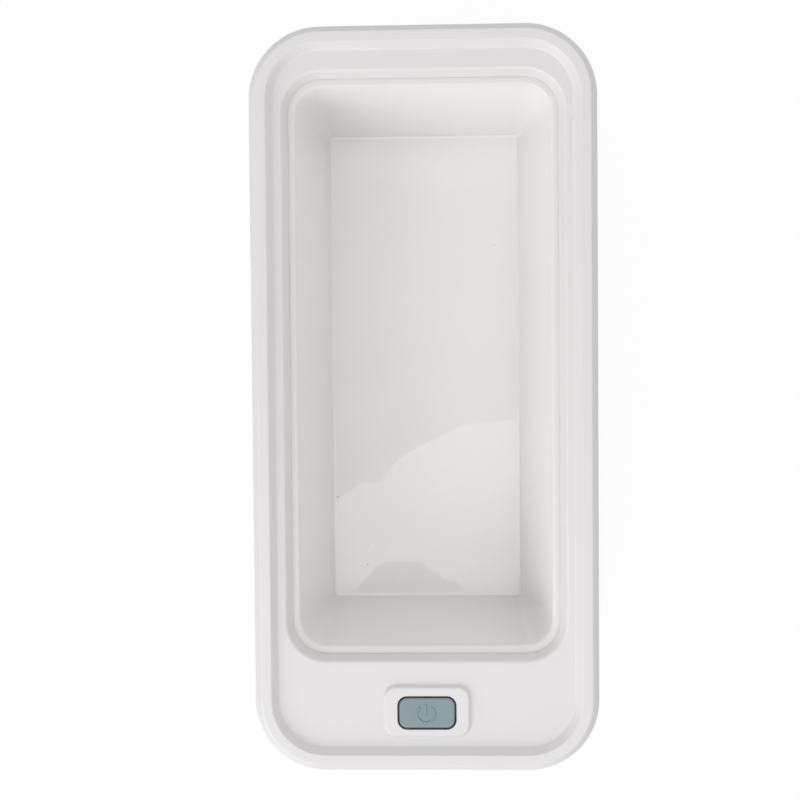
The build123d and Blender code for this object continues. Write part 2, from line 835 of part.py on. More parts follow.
def make_can(place, radius, height):
    """An electrolytic capacitor: a turned can with a crimped groove near its foot."""
    outline = [
        (0, 0),
        (radius, 0),
        (radius, can_neck_height - can_groove),
        (radius - can_groove, can_neck_height),
        (radius, can_neck_height + can_groove),
        (radius, height - can_edge),
        (radius - can_edge, height),
        (0, height),
    ]
    profile = Plane.XZ * make_face(Polyline(*outline, close=True))
    return Pos(place[0], place[1], driver_z) * revolve(profile, axis=Axis.Z)


def make_film_capacitor():
    """A moulded box capacitor."""
    x, y = film_place
    wide, long, tall = film_size
    box = Pos(x, y, driver_z + tall / 2) * Box(wide, long, tall)
    return fillet(box.edges().filter_by(Axis.Z), film_corner)


def make_heat_sink():
    """A finned extrusion with two screw holes for the transistors."""
    x, y = sink_place
    z = (driver_z, driver_z + sink_height)
    sink = block((x - sink_width / 2, x + sink_width / 2), (y - sink_base / 2, y + sink_base / 2), z)
    pitch = (sink_width - sink_fin) / (sink_fin_count - 1)
    for step in range(sink_fin_count):
        low = x - sink_width / 2 + step * pitch
        fin_y = (y + sink_base / 2, y + sink_base / 2 + sink_fin_length)
        sink += block((low, low + sink_fin), fin_y, z)
    for place in transistor_holes():
        hole = Plane(origin=(place[0], y - sink_base, place[1]), z_dir=(0, 1, 0))
        sink -= extrude(hole * Circle(board_screw[0] + shank_clearance), amount=2 * sink_base)
    return sink


def transistor_holes():
    """The screw holes through the transistors' tabs: (x, z)."""
    z = driver_z + transistor_lift + transistor_hole
    return [(sink_place[0] + side * transistor_pitch / 2, z) for side in (-1, 1)]


def make_transistors():
    """Two flat-tab power transistors standing against the heat sink."""
    back = sink_place[1] - sink_base / 2
    low = driver_z + transistor_lift
    made = []
    for x, z in transistor_holes():
        wide = (x - transistor_width / 2, x + transistor_width / 2)
        piece = block(wide, (back - tab_thickness, back), (low, low + transistor_height))
        piece += block(wide, (back - package_depth, back - tab_thickness / 2), (low, low + package_height))
        for step in (-1, 0, 1):
            leg_x = x + step * leg_pitch
            leg_wide = (leg_x - leg_width / 2, leg_x + leg_width / 2)
            leg_deep = (back - leg_setback - leg_thickness, back - leg_setback)
            piece += block(leg_wide, leg_deep, (driver_z, low + root_depth))
        hole = Plane(origin=(x, back + cut_past, z), z_dir=(0, -1, 0))
        piece -= extrude(hole * Circle(board_screw[0] + hole_clearance), amount=tab_thickness + 2 * cut_past)
        made.append(piece.solid())
    return Compound(children=made)


def make_transistor_screws():
    """The screws that press the tabs against the heat sink."""
    front = sink_place[1] - sink_base / 2 - tab_thickness
    made = []
    for x, z in transistor_holes():
        face = Plane(origin=(x, front, z), z_dir=(0, 1, 0))
        shank = extrude(face * Circle(board_screw[0]), amount=sink_base + tab_thickness)
        head = extrude(face * Circle(board_screw[2]), amount=-board_screw[3])
        made.append((shank + head).solid())
    return Compound(children=made)


def make_control_chip():
    """The controller in its small flat package with eight legs."""
    x, y = chip_place
    wide, long, tall = chip_size
    chip = Pos(x, y, driver_z + tall / 2 + chip_lift) * Box(wide, long, tall)
    for side in (-1, 1):
        for step in range(4):
            mid_y = y + (step - 1.5) * chip_leg_pitch
            leg_x = sorted((x + side * (wide / 2 - root_depth), x + side * (wide / 2 + chip_leg_reach)))
            leg_y = (mid_y - chip_leg_width / 2, mid_y + chip_leg_width / 2)
            chip += block(leg_x, leg_y, (driver_z, driver_z + chip_leg_height))
    return chip


def make_header(place, base_z, upright):
    """A two-way lead header. Its leads leave rearwards, or upwards when it is upright."""
    x, y = place
    wide, deep, tall = header_size
    body = Pos(x, y, base_z + tall / 2) * Box(wide, deep, tall)
    top_edges = body.faces().sort_by(Axis.Z)[-1].edges()
    return chamfer(top_edges if upright else top_edges.sort_by(Axis.Y)[0], header_bevel)


def inlet_header_on_board():
    """Where the lead header stands on the inlet's board."""
    return 0.0, inlet_board_span()[0] + header_size[1] / 2 + inlet_header_setback


def make_transducer_plate():
    """The aluminium disc bonded under the tank floor, stepped down to the size of the ceramic."""
    step_z = tank_under_z - plate_rim_thickness
    plate = rod(plate_radius, 0, well_middle, step_z, tank_under_z)
    plate += rod(piezo_radius + plate_border, 0, well_middle, transducer_z, step_z)
    return chamfer(plate.faces().sort_by(Axis.Z)[0].edges(), plate_bevel)


def make_piezo_disc():
    """The piezo ceramic bonded to the plate."""
    disc = rod(piezo_radius, 0, well_middle, piezo_low_z, transducer_z)
    return chamfer(disc.faces().sort_by(Axis.Z)[0].edges(), piezo_bevel)


def make_solder_joints():
    """Two solder domes that hold the leads to the ceramic."""
    made = []
    for side in (-1, 1):
        x = side * joint_spacing / 2
        dome = Pos(x, well_middle, piezo_low_z - joint_height / 2)
        dome *= Rot(180, 0, 0) * Cone(joint_radius, joint_radius / 2, joint_height)
        made.append(dome.solid())
    return Compound(children=made)


def make_inlet_board():
    """The small board behind the inlet."""
    front, rear = inlet_board_span()
    low = inlet_board_low_z()
    board = extrude(plan(inlet_board_width / 2, front, rear, board_corner, low), amount=board_thickness)
    for x, y in inlet_screw_places():
        hole = small_screw[0] + hole_clearance
        board -= rod(hole, x, y, low - cut_past, low + board_thickness + cut_past)
    return board


def make_inlet_socket():
    """The moulded body of the round low-voltage inlet."""
    front = inlet_front_y()
    half = inlet_width / 2
    z = (inlet_height - inlet_tall / 2, inlet_height + inlet_tall / 2)
    body = block((-half, half), (front - inlet_depth, front), z)
    body = chamfer(body.edges().filter_by(Axis.Y).sort_by(Axis.Z)[-2:], inlet_bevel)
    nose = Plane(origin=(0, front, inlet_height), z_dir=(0, 1, 0)) * Circle(inlet_nose_radius)
    body += extrude(nose, amount=inlet_face_y() - front)
    mouth = Plane(origin=(0, inlet_face_y(), inlet_height), z_dir=(0, -1, 0))
    body -= extrude(mouth * Circle(inlet_bore), amount=inlet_bore_depth)
    return body - extrude(mouth * Circle(inlet_pin_radius), amount=inlet_bore_depth + inlet_pin_root)


def make_inlet_pin():
    """The contact pin in the middle of the inlet."""
    root = inlet_face_y() - inlet_bore_depth - inlet_pin_root
    face = Plane(origin=(0, root, inlet_height), z_dir=(0, 1, 0)) * Circle(inlet_pin_radius)
    pin = extrude(face, amount=inlet_pin_length + inlet_pin_root)
    return chamfer(pin.faces().sort_by(Axis.Y)[-1].edges(), inlet_pin_bevel)


def make_lead(name, points):
    """A wire along straight runs joined by tangent arcs, each as large as its runs allow."""
    route = [Vector(*point) for point in points]
    bends = []
    for before, here, after in zip(route, route[1:], route[2:]):
        run_in = here - before
        run_out = after - here
        turn = math.radians(run_in.get_angle(run_out))
        bends.append(0.45 * min(run_in.length, run_out.length) / math.tan(turn / 2))
    path = FilletPolyline(*points, radius=bends)
    lead = sweep(Plane(origin=path @ 0, z_dir=path % 0) * Circle(lead_radius), path=path)
    expected = math.pi * lead_radius**2 * path.length
    print(name, "tightest bend", round(min(bends), 1), "volume share", round(lead.volume / expected, 4))
    return lead


def make_transducer_lead(side):
    """From the header at the board's rear edge up to one solder joint."""
    x, y = transducer_header_place
    start = (x + side * lead_spacing / 2, y + header_size[1] / 2, driver_z + header_size[2] / 2)
    end = (side * joint_spacing / 2, well_middle, piezo_low_z - joint_height)
    points = [
        start,
        (start[0], start[1] + lead_first_run, start[2]),
        (end[0], end[1], start[2] - lead_sag),
        end,
    ]
    return make_lead("transducer lead", points)


def make_inlet_lead(side):
    """From the driver board's header, along the base, to the inlet's board."""
    x, y = inlet_header_place
    start = (x + side * lead_spacing / 2, y + header_size[1] / 2, driver_z + header_size[2] / 2)
    end_x, end_y = inlet_header_on_board()
    end_z = inlet_board_low_z() + board_thickness + header_size[2] / 2
    end = (end_x + side * lead_spacing / 2, end_y - header_size[1] / 2, end_z)
    low = base_floor_z + lead_radius + lead_lift
    lane = piezo_radius + lead_lane_gap + side * lead_spacing / 2
    shift = side * lead_stagger
    points = [
        start,
        (start[0], start[1] + lead_first_run, start[2]),
        (lane, start[1] + lead_second_run, low),
        (lane + lead_drift, well_middle, low),
        (lane, end[1] - lead_turn_run + shift, low + lead_drift / 2),
        (end[0], end[1] - lead_last_run + shift, end[2]),
        end,
    ]
    return make_lead("inlet lead", points)


def make_switch_leads():
    """Two wires from the switch board down to the driver board's upright header."""
    x, y = switch_header_place
    top = switch_board_z - board_thickness
    low = driver_z + header_size[2]
    made = []
    for side in (-1, 1):
        offset = side * lead_spacing / 2
        start = (offset, button_y, top)
        end = (x + offset, y, low)
        drop = top - low
        points = [
            start,
            (start[0], start[1], top - drop / 4),
            (start[0] + lead_sag, start[1] - lead_sag, top - drop / 2),
            (end[0], end[1], low + drop / 4),
            end,
        ]
        made.append(make_lead("switch lead", points).solid())
    return Compound(children=made)


inlet_board_top_z = inlet_board_low_z() + board_thickness
switch_places = [(-switch_boss_x, button_y), (switch_boss_x, button_y)]

pieces = {
    "upper_housing": make_upper_housing(),
    "base_cover": make_base_cover(),
    "tank": make_tank(),
    "tank_gasket": make_tank_gasket(),
    "tank_screws": screws(tank_screw, lug_places, lug_z - lug_thickness, True),
    "case_screws": screws(case_screw, case_boss_places, case_seat_z, True, crossed=True),
    "foot_front_left": make_foot(-1, -1),
    "foot_front_right": make_foot(1, -1),
    "foot_rear_left": make_foot(-1, 1),
    "foot_rear_right": make_foot(1, 1),
    "power_button": make_power_button(),
    "switch_plunger": make_switch_plunger(),
    "switch_body": make_switch_body(),
    "switch_board": make_switch_board(),
    "switch_board_screws": screws(small_screw, switch_places, switch_board_z - board_thickness, True),
    "switch_leads": make_switch_leads(),
    "driver_board": make_driver_board(),
    "driver_board_screws": screws(board_screw, standoff_places, driver_z, False),
    "transformer_core": make_transformer_core(),
    "transformer_bobbin": make_transformer_bobbin(),
    "transformer_winding": make_transformer_winding(),
    "choke_core": make_choke_core(),
    "choke_winding": make_choke_winding(),
    "bulk_capacitor": make_can(bulk_place, bulk_radius, bulk_height),
    "filter_capacitor": make_can(filter_place, filter_radius, filter_height),
    "film_capacitor": make_film_capacitor(),
    "heat_sink": make_heat_sink(),
    "power_transistors": make_transistors(),
    "transistor_screws": make_transistor_screws(),
    "control_chip": make_control_chip(),
    "transducer_header": make_header(transducer_header_place, driver_z, False),
    "inlet_header": make_header(inlet_header_place, driver_z, False),
    "switch_header": make_header(switch_header_place, driver_z, True),
    "transducer_plate": make_transducer_plate(),
    "piezo_disc": make_piezo_disc(),
    "solder_joints": make_solder_joints(),
    "transducer_lead_live": make_transducer_lead(1),
    "transducer_lead_return": make_transducer_lead(-1),
    "inlet_board": make_inlet_board(),
    "inlet_board_screws": screws(small_screw, inlet_screw_places(), inlet_board_top_z, False),
    "inlet_board_header": make_header(inlet_header_on_board(), inlet_board_top_z, False),
    "inlet_socket": make_inlet_socket(),
    "inlet_pin": make_inlet_pin(),
    "inlet_lead_live": make_inlet_lead(1),
    "inlet_lead_return": make_inlet_lead(-1),
}

os.makedirs("parts", exist_ok=True)
for name, piece in pieces.items():
    export_step(piece, "parts/" + name + ".step")
print("pieces", len(pieces))
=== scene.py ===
# %% [markdown]
# # An ultrasonic jewelry cleaner, seen from above
# The cleaner is a white moulded case with a deep glossy tank and one grey-teal key. Its solids come packed
# from the CAD model, already at their real size and place, so this lesson gives them finishes, adds what is
# too fine for CAD, and lights them. All lengths are metres, Z is up, and the feet stand on Z = 0.

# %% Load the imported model
import bpy
import bmesh
import math
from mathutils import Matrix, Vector


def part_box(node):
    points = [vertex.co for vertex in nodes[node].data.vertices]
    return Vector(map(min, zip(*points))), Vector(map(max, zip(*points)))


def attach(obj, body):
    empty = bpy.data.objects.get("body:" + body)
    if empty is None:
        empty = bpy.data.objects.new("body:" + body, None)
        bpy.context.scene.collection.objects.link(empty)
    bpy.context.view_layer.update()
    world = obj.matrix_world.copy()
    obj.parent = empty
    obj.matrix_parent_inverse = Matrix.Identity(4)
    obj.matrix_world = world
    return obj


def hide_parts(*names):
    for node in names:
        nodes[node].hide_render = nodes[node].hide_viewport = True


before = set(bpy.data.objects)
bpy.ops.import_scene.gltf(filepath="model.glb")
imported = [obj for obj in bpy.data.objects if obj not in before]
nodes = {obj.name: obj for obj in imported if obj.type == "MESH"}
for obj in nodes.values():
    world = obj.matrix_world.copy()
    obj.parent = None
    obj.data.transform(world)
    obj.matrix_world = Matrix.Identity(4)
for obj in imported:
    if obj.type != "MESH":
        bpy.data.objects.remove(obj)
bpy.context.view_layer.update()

# %% [markdown]
# ## The camera
# The photograph looks straight down from about 33 cm over the rim. The numbers below were fitted to
# the corners of the case, the tank's floor and the key. Because the camera is that near, the tank's
# walls show as wide slanting bands, which a longer lens from further away would lose.

# %% Camera
def make_camera(place, tilt_degrees, lens):
    camera_data = bpy.data.cameras.new("top_camera")
    camera_data.sensor_width = 36.0
    camera_data.lens = lens
    camera_data.clip_start = 0.01
    camera = bpy.data.objects.new("top_camera", camera_data)
    camera.location = place
    camera.rotation_euler = [math.radians(angle) for angle in tilt_degrees]
    bpy.context.scene.collection.objects.link(camera)
    bpy.context.scene.camera = camera
    return camera


camera = make_camera(
    place=(0.00371, 0.01029, 0.40246), tilt_degrees=(-1.747, 1.790, -0.491), lens=54.29)

# %% [markdown]
# ## Wiring helpers
# Every finish here is a node tree written in code. A few small helpers keep that readable. One adds a node
# and sets its sockets by name, and one joins an output to an input. One turns a screen colour, written as 0
# to 255, into the linear values that sockets take. The others mix two colours, put two sockets through one
# Math node, make a mask from the height, and lay one more value over what a surface already has.

# %% Helpers for node trees
def add_node(tree, kind, settings=None, **inputs):
    made = tree.nodes.new(kind)
    for name, value in (settings or {}).items():
        setattr(made, name, value)
    for name, value in inputs.items():
        made.inputs[name.replace("_", " ")].default_value = value
    return made


def join(tree, source, output, target, entry):
    tree.links.new(source.outputs[output], target.inputs[entry])


def shade(*tone):
    linear = [((v / 255 + 0.055) / 1.055) ** 2.4 if v > 10 else v / 255 / 12.92 for v in tone]
    return (*linear, 1.0)


def blend_tones(tree, share, low, high):
    """Mix two colours by a socket, and return the mix's own colour socket."""
    mix = add_node(tree, "ShaderNodeMix", {"data_type": "RGBA"})
    tree.links.new(share, mix.inputs[0])
    for entry, tone in ((6, low), (7, high)):
        if isinstance(tone, tuple):
            mix.inputs[entry].default_value = tone
        else:
            tree.links.new(tone, mix.inputs[entry])
    return mix.outputs[2]


def combine(tree, operation, first, second):
    """One Math node over two sockets."""
    both = add_node(tree, "ShaderNodeMath", {"operation": operation})
    tree.links.new(first, both.inputs[0])
    tree.links.new(second, both.inputs[1])
    return both.outputs["Value"]


def height_mask(tree, low, high):
    """A mask that rises from 0 to 1 between two heights, or falls if the first is the higher one."""
    where = add_node(tree, "ShaderNodeTexCoord")
    parts = add_node(tree, "ShaderNodeSeparateXYZ")
    rise = add_node(tree, "ShaderNodeMapRange", From_Min=low, From_Max=high)
    join(tree, where, "Object", parts, "Vector")
    join(tree, parts, "Z", rise, "Value")
    return rise.outputs["Result"]


def lay_over(tree, surface, entry, share, value):
    """Mix a value or colour over what already feeds an entry of the surface."""
    wired = surface.inputs[entry].links[0].from_socket
    if isinstance(value, tuple):
        tree.links.new(blend_tones(tree, share, wired, value), surface.inputs[entry])
        return
    mix = add_node(tree, "ShaderNodeMix", {"data_type": "FLOAT"})
    mix.inputs[3].default_value = value
    tree.links.new(share, mix.inputs[0])
    tree.links.new(wired, mix.inputs[2])
    tree.links.new(mix.outputs[0], surface.inputs[entry])


print("screen 222 is linear", round(shade(222, 222, 222)[0], 3))

# %% [markdown]
# ## A white room
# The photograph has a plain white ground. A floor that simply reflects light would come out grey, and more
# light on it would burn out the white case as well. So the floor's material asks which kind of ray has met
# it. Rays from the camera, and rays that the object reflects or refracts, get a floor mixed most of the way
# to full white. All others get a plain matt floor, a grey one, because the case's far sides are rather dark
# in the photograph. A part stays matt for every ray, so the case keeps a soft shadow.

# %% Floor and surroundings
def rays_that_see_white(tree):
    """One socket that is 1 for camera, glossy and transmission rays, and 0 for the light on the object."""
    path = add_node(tree, "ShaderNodeLightPath")
    total = path.outputs["Is Camera Ray"]
    for kind in ("Is Glossy Ray", "Is Transmission Ray"):
        total = combine(tree, "MAXIMUM", total, path.outputs[kind])
    return total


def make_floor(half, depth, white_share, matt_tone):
    material = bpy.data.materials.new("studio_floor")
    material.use_nodes = True
    tree = material.node_tree
    tree.nodes.clear()
    output = add_node(tree, "ShaderNodeOutputMaterial")
    matt = add_node(tree, "ShaderNodeBsdfDiffuse")
    white = add_node(tree, "ShaderNodeEmission", Color=(1, 1, 1, 1), Strength=1.0)
    share = add_node(tree, "ShaderNodeMath", {"operation": "MULTIPLY"})
    share.inputs[1].default_value = white_share
    mix = add_node(tree, "ShaderNodeMixShader")
    seen = rays_that_see_white(tree)
    tree.links.new(seen, share.inputs[0])
    tree.links.new(blend_tones(tree, seen, shade(*matt_tone), (1.0, 1.0, 1.0, 1.0)), matt.inputs["Color"])
    join(tree, share, "Value", mix, "Fac")
    join(tree, matt, "BSDF", mix, 1)
    join(tree, white, "Emission", mix, 2)
    join(tree, mix, "Shader", output, "Surface")
    mesh = bpy.data.meshes.new("studio_floor")
    corners = [(-half, -half, -depth), (half, -half, -depth), (half, half, -depth), (-half, half, -depth)]
    mesh.from_pydata(corners, [], [(0, 1, 2, 3)])
    mesh.materials.append(material)
    floor = bpy.data.objects.new("studio_floor", mesh)
    bpy.context.scene.collection.objects.link(floor)
    return floor


def make_surroundings(strength):
    world = bpy.data.worlds.new("white_room")
    bpy.context.scene.world = world
    world.use_nodes = True
    tree = world.node_tree
    tree.nodes.clear()
    output = add_node(tree, "ShaderNodeOutputWorld")
    lit = add_node(tree, "ShaderNodeBackground", Color=(1, 1, 1, 1), Strength=strength)
    white = add_node(tree, "ShaderNodeBackground", Color=(1, 1, 1, 1), Strength=1.0)
    mix = add_node(tree, "ShaderNodeMixShader")
    tree.links.new(rays_that_see_white(tree), mix.inputs["Fac"])
    join(tree, lit, "Background", mix, 1)
    join(tree, white, "Background", mix, 2)
    join(tree, mix, "Shader", output, "Surface")
    return world


make_floor(half=2.0, depth=2e-4, white_share=0.93, matt_tone=(140, 140, 140))
room_strength = 0.75
make_surroundings(room_strength)
bpy.context.scene.view_settings.view_transform = "Standard"
print("room strength", room_strength)

# %% [markdown]
# ## Studio light
# Slopes that face the photograph's lower left are the bright ones, so the one lamp stands there. It is low
# and very wide, like a window, because the shadows in the tank have no clear edge. The rest of the light
# comes from the white room itself.

# %% The lamp
def make_window_lamp(place, aim, size, watts):
    lamp_data = bpy.data.lights.new("window_lamp", "AREA")
    lamp_data.shape = "RECTANGLE"
    lamp_data.size, lamp_data.size_y = size
    lamp_data.energy = watts
    lamp = bpy.data.objects.new("window_lamp", lamp_data)
    lamp.location = place
    lamp.rotation_euler = (Vector(aim) - Vector(place)).to_track_quat("-Z", "Y").to_euler()
    bpy.context.scene.collection.objects.link(lamp)
    return lamp


lamp = make_window_lamp(place=(-0.76, -0.86, 0.62), aim=(0, 0, 0.05), size=(1.1, 0.9), watts=7.4)
print("lamp is", round(lamp.location.length, 2), "m away")

# %% [markdown]
# ## What the tank's floor mirrors
# The tank's glossy floor shows what hangs overhead. A pale reflector with an uneven edge fills its lower
# half, a dark rounded thing stands in front of that, and a faint pale band lies at its far end. Three level
# cards over the camera give the same reflections. Points along those edges were picked by eye in the
# photograph, and a separate script worked out where the cards must have them. The rest of each outline was
# simply listed. The corners are cut once, since a reflected edge is never quite straight. The thin bright
# lines along the floor's edges show that the reflector goes on to the sides, so four wide cards carry it
# further. Only mirrored rays meet those, or they would light the whole object as well. All the cards belong
# to the stage, like the floor.

# %% Overhead cards
def cut_corners(points, share=0.25):
    cut = []
    for here, after in zip(points, points[1:] + points[:1]):
        cut += [here.lerp(after, share), here.lerp(after, 1 - share)]
    return cut


def make_card(name, outline, height, strength, only_mirrored=False):
    """A level glowing card. One that is only mirrored lets all rays but the glossy ones through."""
    points = cut_corners([Vector((x / 1000, y / 1000, height)) for x, y in outline])
    mesh = bpy.data.meshes.new(name)
    mesh.from_pydata([tuple(point) for point in points], [], [tuple(range(len(points)))])
    material = bpy.data.materials.new(name)
    material.use_nodes = True
    material.node_tree.nodes.clear()
    output = add_node(material.node_tree, "ShaderNodeOutputMaterial")
    glow = add_node(material.node_tree, "ShaderNodeEmission", Color=(1, 1, 1, 1), Strength=strength)
    join(material.node_tree, glow, "Emission", output, "Surface")
    if only_mirrored:
        path = add_node(material.node_tree, "ShaderNodeLightPath")
        clear = add_node(material.node_tree, "ShaderNodeBsdfTransparent")
        mix = add_node(material.node_tree, "ShaderNodeMixShader")
        join(material.node_tree, path, "Is Glossy Ray", mix, "Fac")
        join(material.node_tree, clear, "BSDF", mix, 1)
        join(material.node_tree, glow, "Emission", mix, 2)
        join(material.node_tree, mix, "Shader", output, "Surface")
    mesh.materials.append(material)
    card = bpy.data.objects.new(name, mesh)
    bpy.context.scene.collection.objects.link(card)
    return card


card_height = 0.650
card_gap = 0.002
cards = [make_card("pale_reflector", [
    (120, -32), (71, -36), (47, -40), (22, -41), (14, -46), (-3, -54), (-20, -62), (-32, -71), (-45, -89),
    (-60, -86), (-70, -95), (-81, -104), (-112, -126), (-120, -270), (120, -270)], card_height, 2.5)]
cards.append(make_card("dark_dome", [
    (-74, -196), (-67, -180), (-61, -173), (-55, -165), (-47, -157), (-38, -153), (-24, -154), (-12, -152),
    (-4, -161), (3, -162), (9, -170), (18, -169), (23, -179), (22, -196)], card_height - 2 * card_gap, 0.75))
cards.append(make_card("far_band", [
    (-140, 172), (-84, 165), (-34, 159), (13, 154), (65, 146), (140, 140), (150, 300), (-150, 300)],
    card_height - card_gap, 1.45))
for side, strength, outline in (
        ("left", 2.6, [(-900, -36), (-142, -36), (-122, -100), (-122, -900), (-900, -900)]),
        ("right", 1.9, [(122, -34), (900, -34), (900, -900), (122, -900)]),
        ("near", 2.2, [(-120, -272), (120, -272), (120, -900), (-120, -900)]),
        ("far", 2.2, [(-900, 302), (900, 302), (900, 900), (-900, 900)])):
    cards.append(make_card(
        "reflector_" + side, outline, card_height + card_gap, strength, only_mirrored=True))
print("cards", len(cards), "about", round(card_height - camera.location.z, 2), "m over the camera")

# %% [markdown]
# ## Grain shared by the mouldings
# A moulded wall is never quite even. It carries the fine grain of the mould's steel, a slow ripple where it
# shrank, and slight changes of tone. One node group makes all three from noise on Object coordinates, so
# each plastic can ask for its own sizes. The group hands out only a height and a mask for the tone, and
# each material decides what to do with them.

# %% Node group: moulded grain
def new_group(name, entries, exits):
    group = bpy.data.node_groups.new(name, "ShaderNodeTree")
    for entry, default in entries.items():
        kind = "NodeSocketVector" if isinstance(default, tuple) else "NodeSocketFloat"
        socket = group.interface.new_socket(entry, in_out="INPUT", socket_type=kind)
        socket.default_value = default
    for way_out in exits:
        group.interface.new_socket(way_out, in_out="OUTPUT", socket_type="NodeSocketFloat")
    return group, group.nodes.new("NodeGroupInput"), group.nodes.new("NodeGroupOutput")


def make_grain_group():
    group, entry, way_out = new_group(
        "moulded_grain", {"Grain rate": 3000.0, "Ripple rate": 40.0, "Ripple share": 0.5}, ["Height", "Tone"])
    place = add_node(group, "ShaderNodeTexCoord")
    grain = add_node(group, "ShaderNodeTexNoise", Detail=3.0, Roughness=0.6)
    ripple = add_node(group, "ShaderNodeTexNoise", Detail=2.0, Roughness=0.4)
    height = add_node(group, "ShaderNodeMix", {"data_type": "FLOAT"})
    for noise, rate in ((grain, "Grain rate"), (ripple, "Ripple rate")):
        join(group, place, "Object", noise, "Vector")
        join(group, entry, rate, noise, "Scale")
    join(group, entry, "Ripple share", height, 0)
    join(group, grain, "Fac", height, 2)
    join(group, ripple, "Fac", height, 3)
    join(group, height, 0, way_out, "Height")
    join(group, ripple, "Fac", way_out, "Tone")
    return group


grain_group = make_grain_group()
print("group", grain_group.name, [item.name for item in grain_group.interface.items_tree])

# %% [markdown]
# ## Marks of use
# Even a clean product shows a few specks of dust and faint wipe marks when the light is low. A second group
# makes sparse specks from Voronoi cells, keeping only the middles of a few cells, and wipe marks from noise
# stretched along one direction.

# %% Node group: specks and wipe marks
def make_marks_group(rarity):
    """Specks lie only in the cells whose random red is over the rarity."""
    group, entry, way_out = new_group(
        "specks_and_wipes", {"Speck rate": 170.0, "Speck size": 0.035, "Wipe rate": 60.0}, ["Speck", "Wipe"])
    place = add_node(group, "ShaderNodeTexCoord")
    cells = add_node(group, "ShaderNodeTexVoronoi", {"feature": "F1"})
    parts = add_node(group, "ShaderNodeSeparateColor")
    chosen = add_node(group, "ShaderNodeMath", {"operation": "GREATER_THAN"})
    chosen.inputs[1].default_value = rarity
    near = add_node(group, "ShaderNodeMath", {"operation": "LESS_THAN"})
    stretch = add_node(group, "ShaderNodeMapping", Scale=(1.0, 0.12, 1.0), Rotation=(0, 0, 0.6))
    smear = add_node(group, "ShaderNodeTexNoise", Detail=4.0, Roughness=0.7)
    wipe = add_node(group, "ShaderNodeMapRange", From_Min=0.5, From_Max=0.72)
    join(group, place, "Object", cells, "Vector")
    join(group, entry, "Speck rate", cells, "Scale")
    join(group, cells, "Color", parts, "Color")
    join(group, parts, "Red", chosen, 0)
    join(group, cells, "Distance", near, 0)
    join(group, entry, "Speck size", near, 1)
    speck = combine(group, "MULTIPLY", chosen.outputs["Value"], near.outputs["Value"])
    join(group, place, "Object", stretch, "Vector")
    join(group, stretch, "Vector", smear, "Vector")
    join(group, entry, "Wipe rate", smear, "Scale")
    join(group, smear, "Fac", wipe, "Value")
    group.links.new(speck, way_out.inputs["Speck"])
    join(group, wipe, "Result", way_out, "Wipe")
    return group


marks_group = make_marks_group(rarity=0.88)
print("group", marks_group.name, [item.name for item in marks_group.interface.items_tree])

# %% [markdown]
# ## One recipe for every plastic
# All plastics here are the Principled shader with the two groups around it. The tone mixes two near
# colours, the wipe marks change how rough the surface is, specks darken it, and the height goes through a
# Bump node. The recipes then differ only in colours, roughness and dust, and in how coarse and deep their
# grain is. The key's sides carry painted shade: they are painted darker, because the gap round it is nearly
# black in the photograph.

# %% The plastic recipe
def start_material(name):
    material = bpy.data.materials.new(name)
    material.use_nodes = True
    tree = material.node_tree
    tree.nodes.clear()
    output = add_node(tree, "ShaderNodeOutputMaterial")
    surface = add_node(tree, "ShaderNodeBsdfPrincipled")
    join(tree, surface, "BSDF", output, "Surface")
    return material, tree, surface


def surface_of(material):
    """The Principled node of a finished material, for what is laid over it later."""
    return next(node for node in material.node_tree.nodes if node.bl_idname == "ShaderNodeBsdfPrincipled")


def place_group(tree, group, **inputs):
    placed = tree.nodes.new("ShaderNodeGroup")
    placed.node_tree = group
    for name, value in inputs.items():
        placed.inputs[name.replace("_", " ")].default_value = value
    return placed


def wire_bump(tree, surface, height, depth):
    bump = add_node(tree, "ShaderNodeBump", Strength=1.0, Distance=depth)
    tree.links.new(height, bump.inputs["Height"])
    join(tree, bump, "Normal", surface, "Normal")


def wire_range(tree, surface, entry, share, low, high):
    spread = add_node(tree, "ShaderNodeMapRange", To_Min=low, To_Max=high)
    tree.links.new(share, spread.inputs["Value"])
    tree.links.new(spread.outputs["Result"], surface.inputs[entry])


dust_tone = shade(112, 98, 86)


def plastic(name, tones, rough, grain, depth, speck=0.25):
    """Two screen tones, two roughness values, grain as (rate, ripple rate, ripple share), depth in metres."""
    material, tree, surface = start_material(name)
    mould = place_group(tree, grain_group, Grain_rate=grain[0], Ripple_rate=grain[1], Ripple_share=grain[2])
    marks = place_group(tree, marks_group)
    clean = blend_tones(tree, mould.outputs["Tone"], shade(*tones[0]), shade(*tones[1]))
    dust = add_node(tree, "ShaderNodeMath", {"operation": "MULTIPLY"})
    dust.inputs[1].default_value = speck
    join(tree, marks, "Speck", dust, 0)
    dusty = blend_tones(tree, dust.outputs["Value"], clean, dust_tone)
    tree.links.new(dusty, surface.inputs["Base Color"])
    wire_range(tree, surface, "Roughness", marks.outputs["Wipe"], *rough)
    wire_bump(tree, surface, mould.outputs["Height"], depth)
    return material


finishes = {}
finishes["shell_plastic"] = plastic(
    "satin_white_case", ((222, 220, 220), (225, 223, 223)), (0.30, 0.36), (2600, 30, 0.3), 2.4e-5)
finishes["button_plastic"] = plastic(
    "teal_key", ((120, 141, 146), (125, 146, 151)), (0.24, 0.30), (3600, 60, 0.2), 1.2e-5)
key_low, key_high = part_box("power_button")
# Painted shade: below the key's top, its sides are painted near black for the dark gap round the key.
gap_shade_starts = 4e-4
gap_shade_full = 7e-4
key_tree = finishes["button_plastic"].node_tree
painted_gap_shade = height_mask(key_tree, key_high.z - gap_shade_starts, key_high.z - gap_shade_full)
lay_over(key_tree, surface_of(finishes["button_plastic"]), "Base Color", painted_gap_shade, shade(38, 44, 46))
print("plastics so far", list(finishes))
